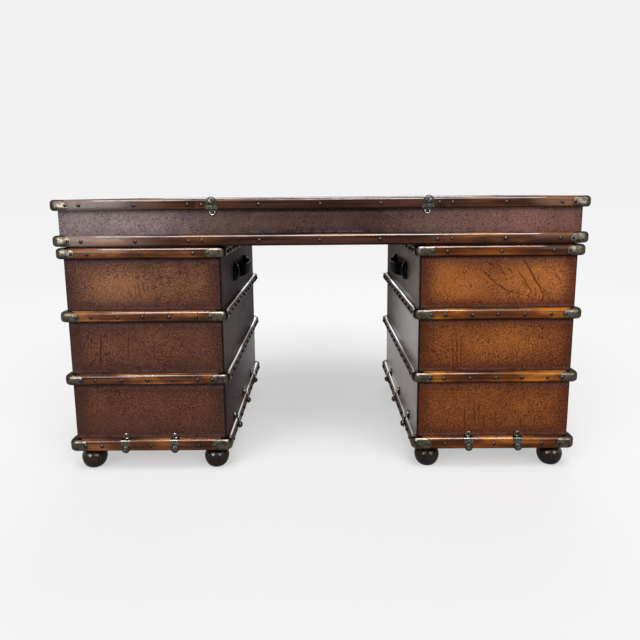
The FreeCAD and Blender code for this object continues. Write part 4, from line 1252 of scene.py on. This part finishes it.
# Nails along the short sides and the top unit's long sides, from the side's middle
SIDE_NAILS = [-0.2864 + 0.0636 * k for k in range(10)]
UNIT_NAILS = (-0.643, -0.498, -0.354, -0.317, -0.162, 0.0, 0.162, 0.317, 0.354, 0.498, 0.643)
# On a pedestal's long sides, from its middle, for each band from the lowest up
FRONT_NAILS = (
    (-0.137, 0.0, 0.137),
    (-0.144, -0.072, 0.0, 0.072, 0.144),
    (-0.144, -0.072, 0.0, 0.072, 0.144),
    (-0.143, 0.0, 0.143),
)


def make_nail_tree():
    """Domed nails on points. Aim says which way each one faces, and flat squashes its dome."""
    tree = bpy.data.node_groups.new("nail_rows", "GeometryNodeTree")
    for label, kind, default in NAIL_INPUTS:
        plug = tree.interface.new_socket(label, in_out="INPUT", socket_type=f"NodeSocket{kind}")
        if default is not None:
            plug.default_value = default
    tree.interface.new_socket("Geometry", in_out="OUTPUT", socket_type="NodeSocketGeometry")
    take = tree.nodes.new("NodeGroupInput").outputs
    give = tree.nodes.new("NodeGroupOutput").inputs
    sphere = {"Segments": 14, "Rings": 8, "Radius": take["Radius"]}
    ball = add(tree, "GeometryNodeMeshUVSphere", sphere).outputs[0]
    size = add(tree, "ShaderNodeCombineXYZ", {0: 1.0, 1: 1.0, 2: take["Rise"]}).outputs[0]
    head = add(tree, "GeometryNodeTransform", {"Geometry": ball, "Scale": size}).outputs[0]
    smooth = add(tree, "GeometryNodeSetShadeSmooth", {0: head}).outputs[0]
    flat = add(tree, "GeometryNodeInputNamedAttribute", {"Name": "flat"}, data_type="FLOAT").outputs[0]
    aim = add(tree, "GeometryNodeInputNamedAttribute", {"Name": "aim"}, data_type="FLOAT_VECTOR").outputs[0]
    turn = add(tree, "FunctionNodeAlignRotationToVector", {"Vector": aim}, axis="Z").outputs[0]
    bounds = {2: minus(tree, 1.0, take["Spread"]), 3: plus(tree, 1.0, take["Spread"]), "Seed": take["Seed"]}
    vary = add(tree, "FunctionNodeRandomValue", bounds, data_type="FLOAT").outputs[1]
    scale = add(tree, "ShaderNodeCombineXYZ", {0: vary, 1: vary, 2: times(tree, vary, flat)}).outputs[0]
    rows = {"Points": take["Geometry"], "Instance": smooth, "Rotation": turn, "Scale": scale}
    spots = add(tree, "GeometryNodeInstanceOnPoints", rows).outputs[0]
    real = add(tree, "GeometryNodeRealizeInstances", {0: spots}).outputs[0]
    coat = {"Geometry": real, "Material": take["Material"]}
    painted = add(tree, "GeometryNodeSetMaterial", coat).outputs[0]
    tree.links.new(painted, give[0])
    return tree


def grow(name, spots, tree, settings, body):
    """Runs a Geometry Nodes tree on points with aims, and keeps the result as a plain mesh."""
    seeds = bpy.data.meshes.new(f"{name}_points")
    seeds.from_pydata([tuple(spot) for spot, _ in spots], [], [])
    aims = seeds.attributes.new("aim", "FLOAT_VECTOR", "POINT")
    aims.data.foreach_set("vector", [part for _, aim in spots for part in aim])
    flats = seeds.attributes.new("flat", "FLOAT", "POINT")
    flats.data.foreach_set("value", [FLAT_HEAD if aim[1] > 0.5 else 1.0 for _, aim in spots])
    carrier = new_object(f"{name}_carrier", seeds)
    modifier = carrier.modifiers.new("rows", "NODES")
    modifier.node_group = tree
    for item in tree.interface.items_tree:
        if item.in_out == "INPUT" and item.name in settings:
            modifier[item.identifier] = settings[item.name]
    bpy.context.view_layer.update()
    graph = bpy.context.evaluated_depsgraph_get()
    mesh = bpy.data.meshes.new_from_object(carrier.evaluated_get(graph), depsgraph=graph)
    bpy.data.objects.remove(carrier)
    mesh.name = name
    piece = new_object(name, mesh)
    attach(piece, body)
    return piece


def facing_out(matrix):
    return (matrix.to_3x3() @ Vector((0, 1, 0))).normalized()


def nail_row(matrix, places, height, z, seed):
    """Nails on a band's face, a little out of line, as they were set by hand."""
    pick = random.Random(seed)
    aim = facing_out(matrix)
    row = []
    for place in places:
        x = place + pick.uniform(-0.002, 0.002)
        spot = Vector((x, PROUD + HEAD_OUT, z + height * 0.47 + pick.uniform(-0.001, 0.001)))
        row.append((matrix @ spot, aim))
    return row


def cap_nails(matrix, half, height, z, middle=0.0):
    """One nail in each cap of a side, given half the side's length."""
    aim = facing_out(matrix)
    ends = (middle - half + CAP_NAIL_IN, middle + half - CAP_NAIL_IN)
    return [(matrix @ Vector((x, CAP_REACH + HEAD_OUT, z + height * 0.5)), aim) for x in ends]


def side_nails(clamped):
    """The places along a short side, without those that a clamp covers."""
    if not clamped:
        return SIDE_NAILS
    return [x for x in SIDE_NAILS if not any(abs(x - spot) < 0.02 for spot in CLAMPS_SIDE)]


def unit_nails():
    spots = []
    for band, (z, height) in enumerate(UNIT_BANDS):
        for side in LONG_SIDES:
            matrix = side_matrix(side, *UNIT)
            spots += nail_row(matrix, UNIT_NAILS, height, z, band * 10 + len(side))
            spots += cap_nails(matrix, UNIT_END, height, z)
        for side in SHORT_SIDES:
            matrix = side_matrix(side, *UNIT)
            spots += nail_row(matrix, side_nails(False), height, z, band * 20 + len(side))
            spots += cap_nails(matrix, DEPTH / 2, height, z)
    return spots


def pedestal_nails(sides):
    spots = []
    for case, ends in enumerate(PEDESTALS.values()):
        middle = sum(ends) / 2
        for band, (z, height) in enumerate(PEDESTAL_BANDS):
            for side in sides:
                matrix = side_matrix(side, *ends)
                if side in LONG_SIDES:
                    places = [middle + x for x in FRONT_NAILS[band]]
                    seed = case * 100 + band * 10 + len(side)
                    spots += nail_row(matrix, places, height, z, seed)
                    spots += cap_nails(matrix, PEDESTAL_HALF, height, z, middle)
                else:
                    seed = case * 200 + band * 20 + len(side)
                    spots += nail_row(matrix, side_nails(band == 0), height, z, seed)
                    spots += cap_nails(matrix, DEPTH / 2, height, z)
    return spots


# ---------------------------------------------------------------------------------------------------- build


def paint_cad():
    """Gives materials to the CAD nodes that no piece replaces."""
    paints = {
        "left_visitor_panel": "left_front",
        "right_visitor_panel": "right_front",
        "left_side_panels": "left_side",
        "right_side_panels": "right_side",
        "frieze_visitor_panel": "frieze",
        "frieze_ends": "frieze_end",
        "writing_leather": "writing",
        "top_board": "board_x",
        "frieze_base_board": "board_x",
        "frieze_dividers": "board_y",
        "left_shelves": "board_x",
        "right_shelves": "board_x",
        "locating_blocks": "board_x",
    }
    for node in NODES:
        if node.endswith("_box"):
            paints[node] = "drawer"
    for node, paint in paints.items():
        mesh = NODES[node].data
        mesh.materials.clear()
        mesh.materials.append(FINISHES[paint])


def build_case(name, bands, ends, joints, seed, woods, body):
    """The slats and corner caps of one case."""
    shape = slats_of(bands, *ends, joints, seed, SHADES[name])
    finish_piece(f"{name}_moulded_slats", shape, woods, body, [f"{name}_slats"])
    shape = caps_of(bands, *ends)
    finish_piece(f"{name}_sheet_caps", shape, ["cap"], body, [f"{name}_corner_caps"], 50)


def build_nails():
    tree = make_nail_tree()
    brown = {"Radius": 0.0051, "Rise": 0.66, "Spread": 0.12, "Seed": 7, "Material": FINISHES["nail"]}
    black = {**brown, "Radius": 0.0054, "Rise": 0.8, "Material": FINISHES["dark"]}
    for name, spots, settings, body in (
        ("pedestal_nails", pedestal_nails(LONG_SIDES), brown, "pedestals"),
        ("pedestal_side_nails", pedestal_nails(SHORT_SIDES), black, "pedestals"),
        ("unit_nails", unit_nails(), brown, "top_unit"),
    ):
        grow(name, spots, tree, settings, body)


def build():
    paint_cad()
    build_case("left", PEDESTAL_BANDS, PEDESTALS["left"], (), 11, ("slat_left", "slat_y"), "pedestals")
    build_case("right", PEDESTAL_BANDS, PEDESTALS["right"], (), 23, ("slat_x", "slat_y"), "pedestals")
    build_case("unit", UNIT_BANDS, UNIT, UNIT_JOINTS, 5, ("unit_x", "slat_y"), "top_unit")
    shape = pedestal_clamps()
    finish_piece("pedestal_strap_clamps", shape, ["clamp"], "pedestals", ["pedestal_slat_clamps"])
    finish_piece("unit_strap_clamps", unit_clamps(), ["clamp"], "top_unit", ["unit_slat_clamps"])
    finish_piece("turned_feet", feet(), ["foot"], "pedestals", ["bun_feet"])
    straps, rosettes = handles()
    finish_piece("stitched_straps", straps, ["strap"], "pedestals", ["handle_straps"], 60)
    finish_piece("domed_rosettes", rosettes, ["dark"], "pedestals", ["handle_rosettes"])
    drawers()
    build_nails()


# ------------------------------------------------------------------------------------------ stage and light

PALE = 0.885
FLOOR_REACH = 30
# How far from the object the floor starts to fade and where it is the background's tone
FLOOR_FADE = (1.2, 5.0)


def mirror_rays(tree):
    """1 for rays that the camera, a shiny surface or glass sends, and 0 for soft light."""
    rays = add(tree, "ShaderNodeLightPath").outputs
    shiny = calc(tree, "MAXIMUM", rays["Is Glossy Ray"], rays["Is Transmission Ray"])
    return calc(tree, "MAXIMUM", rays["Is Camera Ray"], shiny)


def make_stage():
    """A pale floor that shows the object's shadow, and fades to the background's tone further away."""
    mesh = bpy.data.meshes.new("floor")
    corners = [(x * FLOOR_REACH, y * FLOOR_REACH, 0) for x, y in ((-1, -1), (1, -1), (1, 1), (-1, 1))]
    mesh.from_pydata(corners, [], [(0, 1, 2, 3)])
    floor = new_object("floor", mesh)
    material = bpy.data.materials.new("floor")
    material.use_nodes = True
    tree = material.node_tree
    tree.nodes.clear()
    seen = mirror_rays(tree)
    tone = blend_colours(tree, seen, (0.5, 0.5, 0.5), (0.9, 0.9, 0.9))
    matt = add(tree, "ShaderNodeBsdfDiffuse", {"Color": tone}).outputs[0]
    glow = add(tree, "ShaderNodeEmission", {"Color": (PALE, PALE, PALE, 1), "Strength": 1.01}).outputs[0]
    place = add(tree, "ShaderNodeTexCoord").outputs["Object"]
    away = vector_calc(tree, "LENGTH", place)["Value"]
    share = remap(tree, away, *FLOOR_FADE, 0.51, 1.0)
    mix = add(tree, "ShaderNodeMixShader", {0: times(tree, seen, share), 1: matt, 2: glow}).outputs[0]
    output = tree.nodes.new("ShaderNodeOutputMaterial")
    tree.links.new(mix, output.inputs[0])
    mesh.materials.append(material)


def make_world():
    """A bright background, and dimmer light from it on matt surfaces."""
    world = bpy.data.worlds.new("studio")
    bpy.context.scene.world = world
    world.use_nodes = True
    tree = world.node_tree
    tree.nodes.clear()
    seen = mirror_rays(tree)
    dim = add(tree, "ShaderNodeBackground", {"Color": (0.93, 0.96, 1.0, 1), "Strength": 0.3}).outputs[0]
    pale = add(tree, "ShaderNodeBackground", {"Color": (PALE, PALE, PALE, 1), "Strength": 1.0}).outputs[0]
    mix = add(tree, "ShaderNodeMixShader", {0: seen, 1: dim, 2: pale}).outputs[0]
    output = tree.nodes.new("ShaderNodeOutputWorld")
    tree.links.new(mix, output.inputs[0])


def point_at(light, place, aim):
    turn = (Vector(aim) - Vector(place)).to_track_quat("-Z", "Y")
    light.matrix_world = Matrix.Translation(place) @ turn.to_matrix().to_4x4()


def make_sun(name, place, strength, angle, colour=(1, 1, 1)):
    """Even light from far away, so the floor keeps one tone. It shines from place towards the origin."""
    data = bpy.data.lights.new(name, "SUN")
    data.energy = strength
    data.angle = math.radians(angle)
    data.color = colour
    light = new_object(name, data)
    point_at(light, place, (0, 0, 0))


def make_glint(name, place, aim, size, power):
    """A lamp that only polished surfaces show."""
    data = bpy.data.lights.new(name, "AREA")
    data.shape = "RECTANGLE"
    data.size, data.size_y = size
    data.energy = power
    light = new_object(name, data)
    light.visible_diffuse = False
    point_at(light, place, aim)


bpy.context.scene.view_settings.view_transform = "Standard"
make_camera()
build()
make_stage()
make_world()
make_sun("sun_top", (0.0, -1.0, 2.6), 1.3, 30)
make_sun("sun_left", (-1.5, -2.1, 1.5), 1.15, 35, (1.0, 0.98, 0.96))
make_sun("sun_right", (1.6, -2.1, 1.4), 1.1, 35, (1.0, 0.96, 0.92))
make_sun("sun_back", (0.3, 2.4, 2.0), 0.6, 40)
make_glint("glint_top", (0.0, -1.35, 2.5), (0, -0.38, 0.45), (2.8, 1.5), 300)
make_glint("glint_left", (-1.8, -2.95, 1.05), (-0.3, 0, 0.5), (0.8, 1.2), 52)
make_glint("glint_right", (1.95, -2.95, 1.05), (0.3, 0, 0.5), (0.8, 1.2), 22)
make_glint("glint_back", (0.0, 2.7, 1.35), (0, 0, 0.45), (2.6, 1.1), 60)
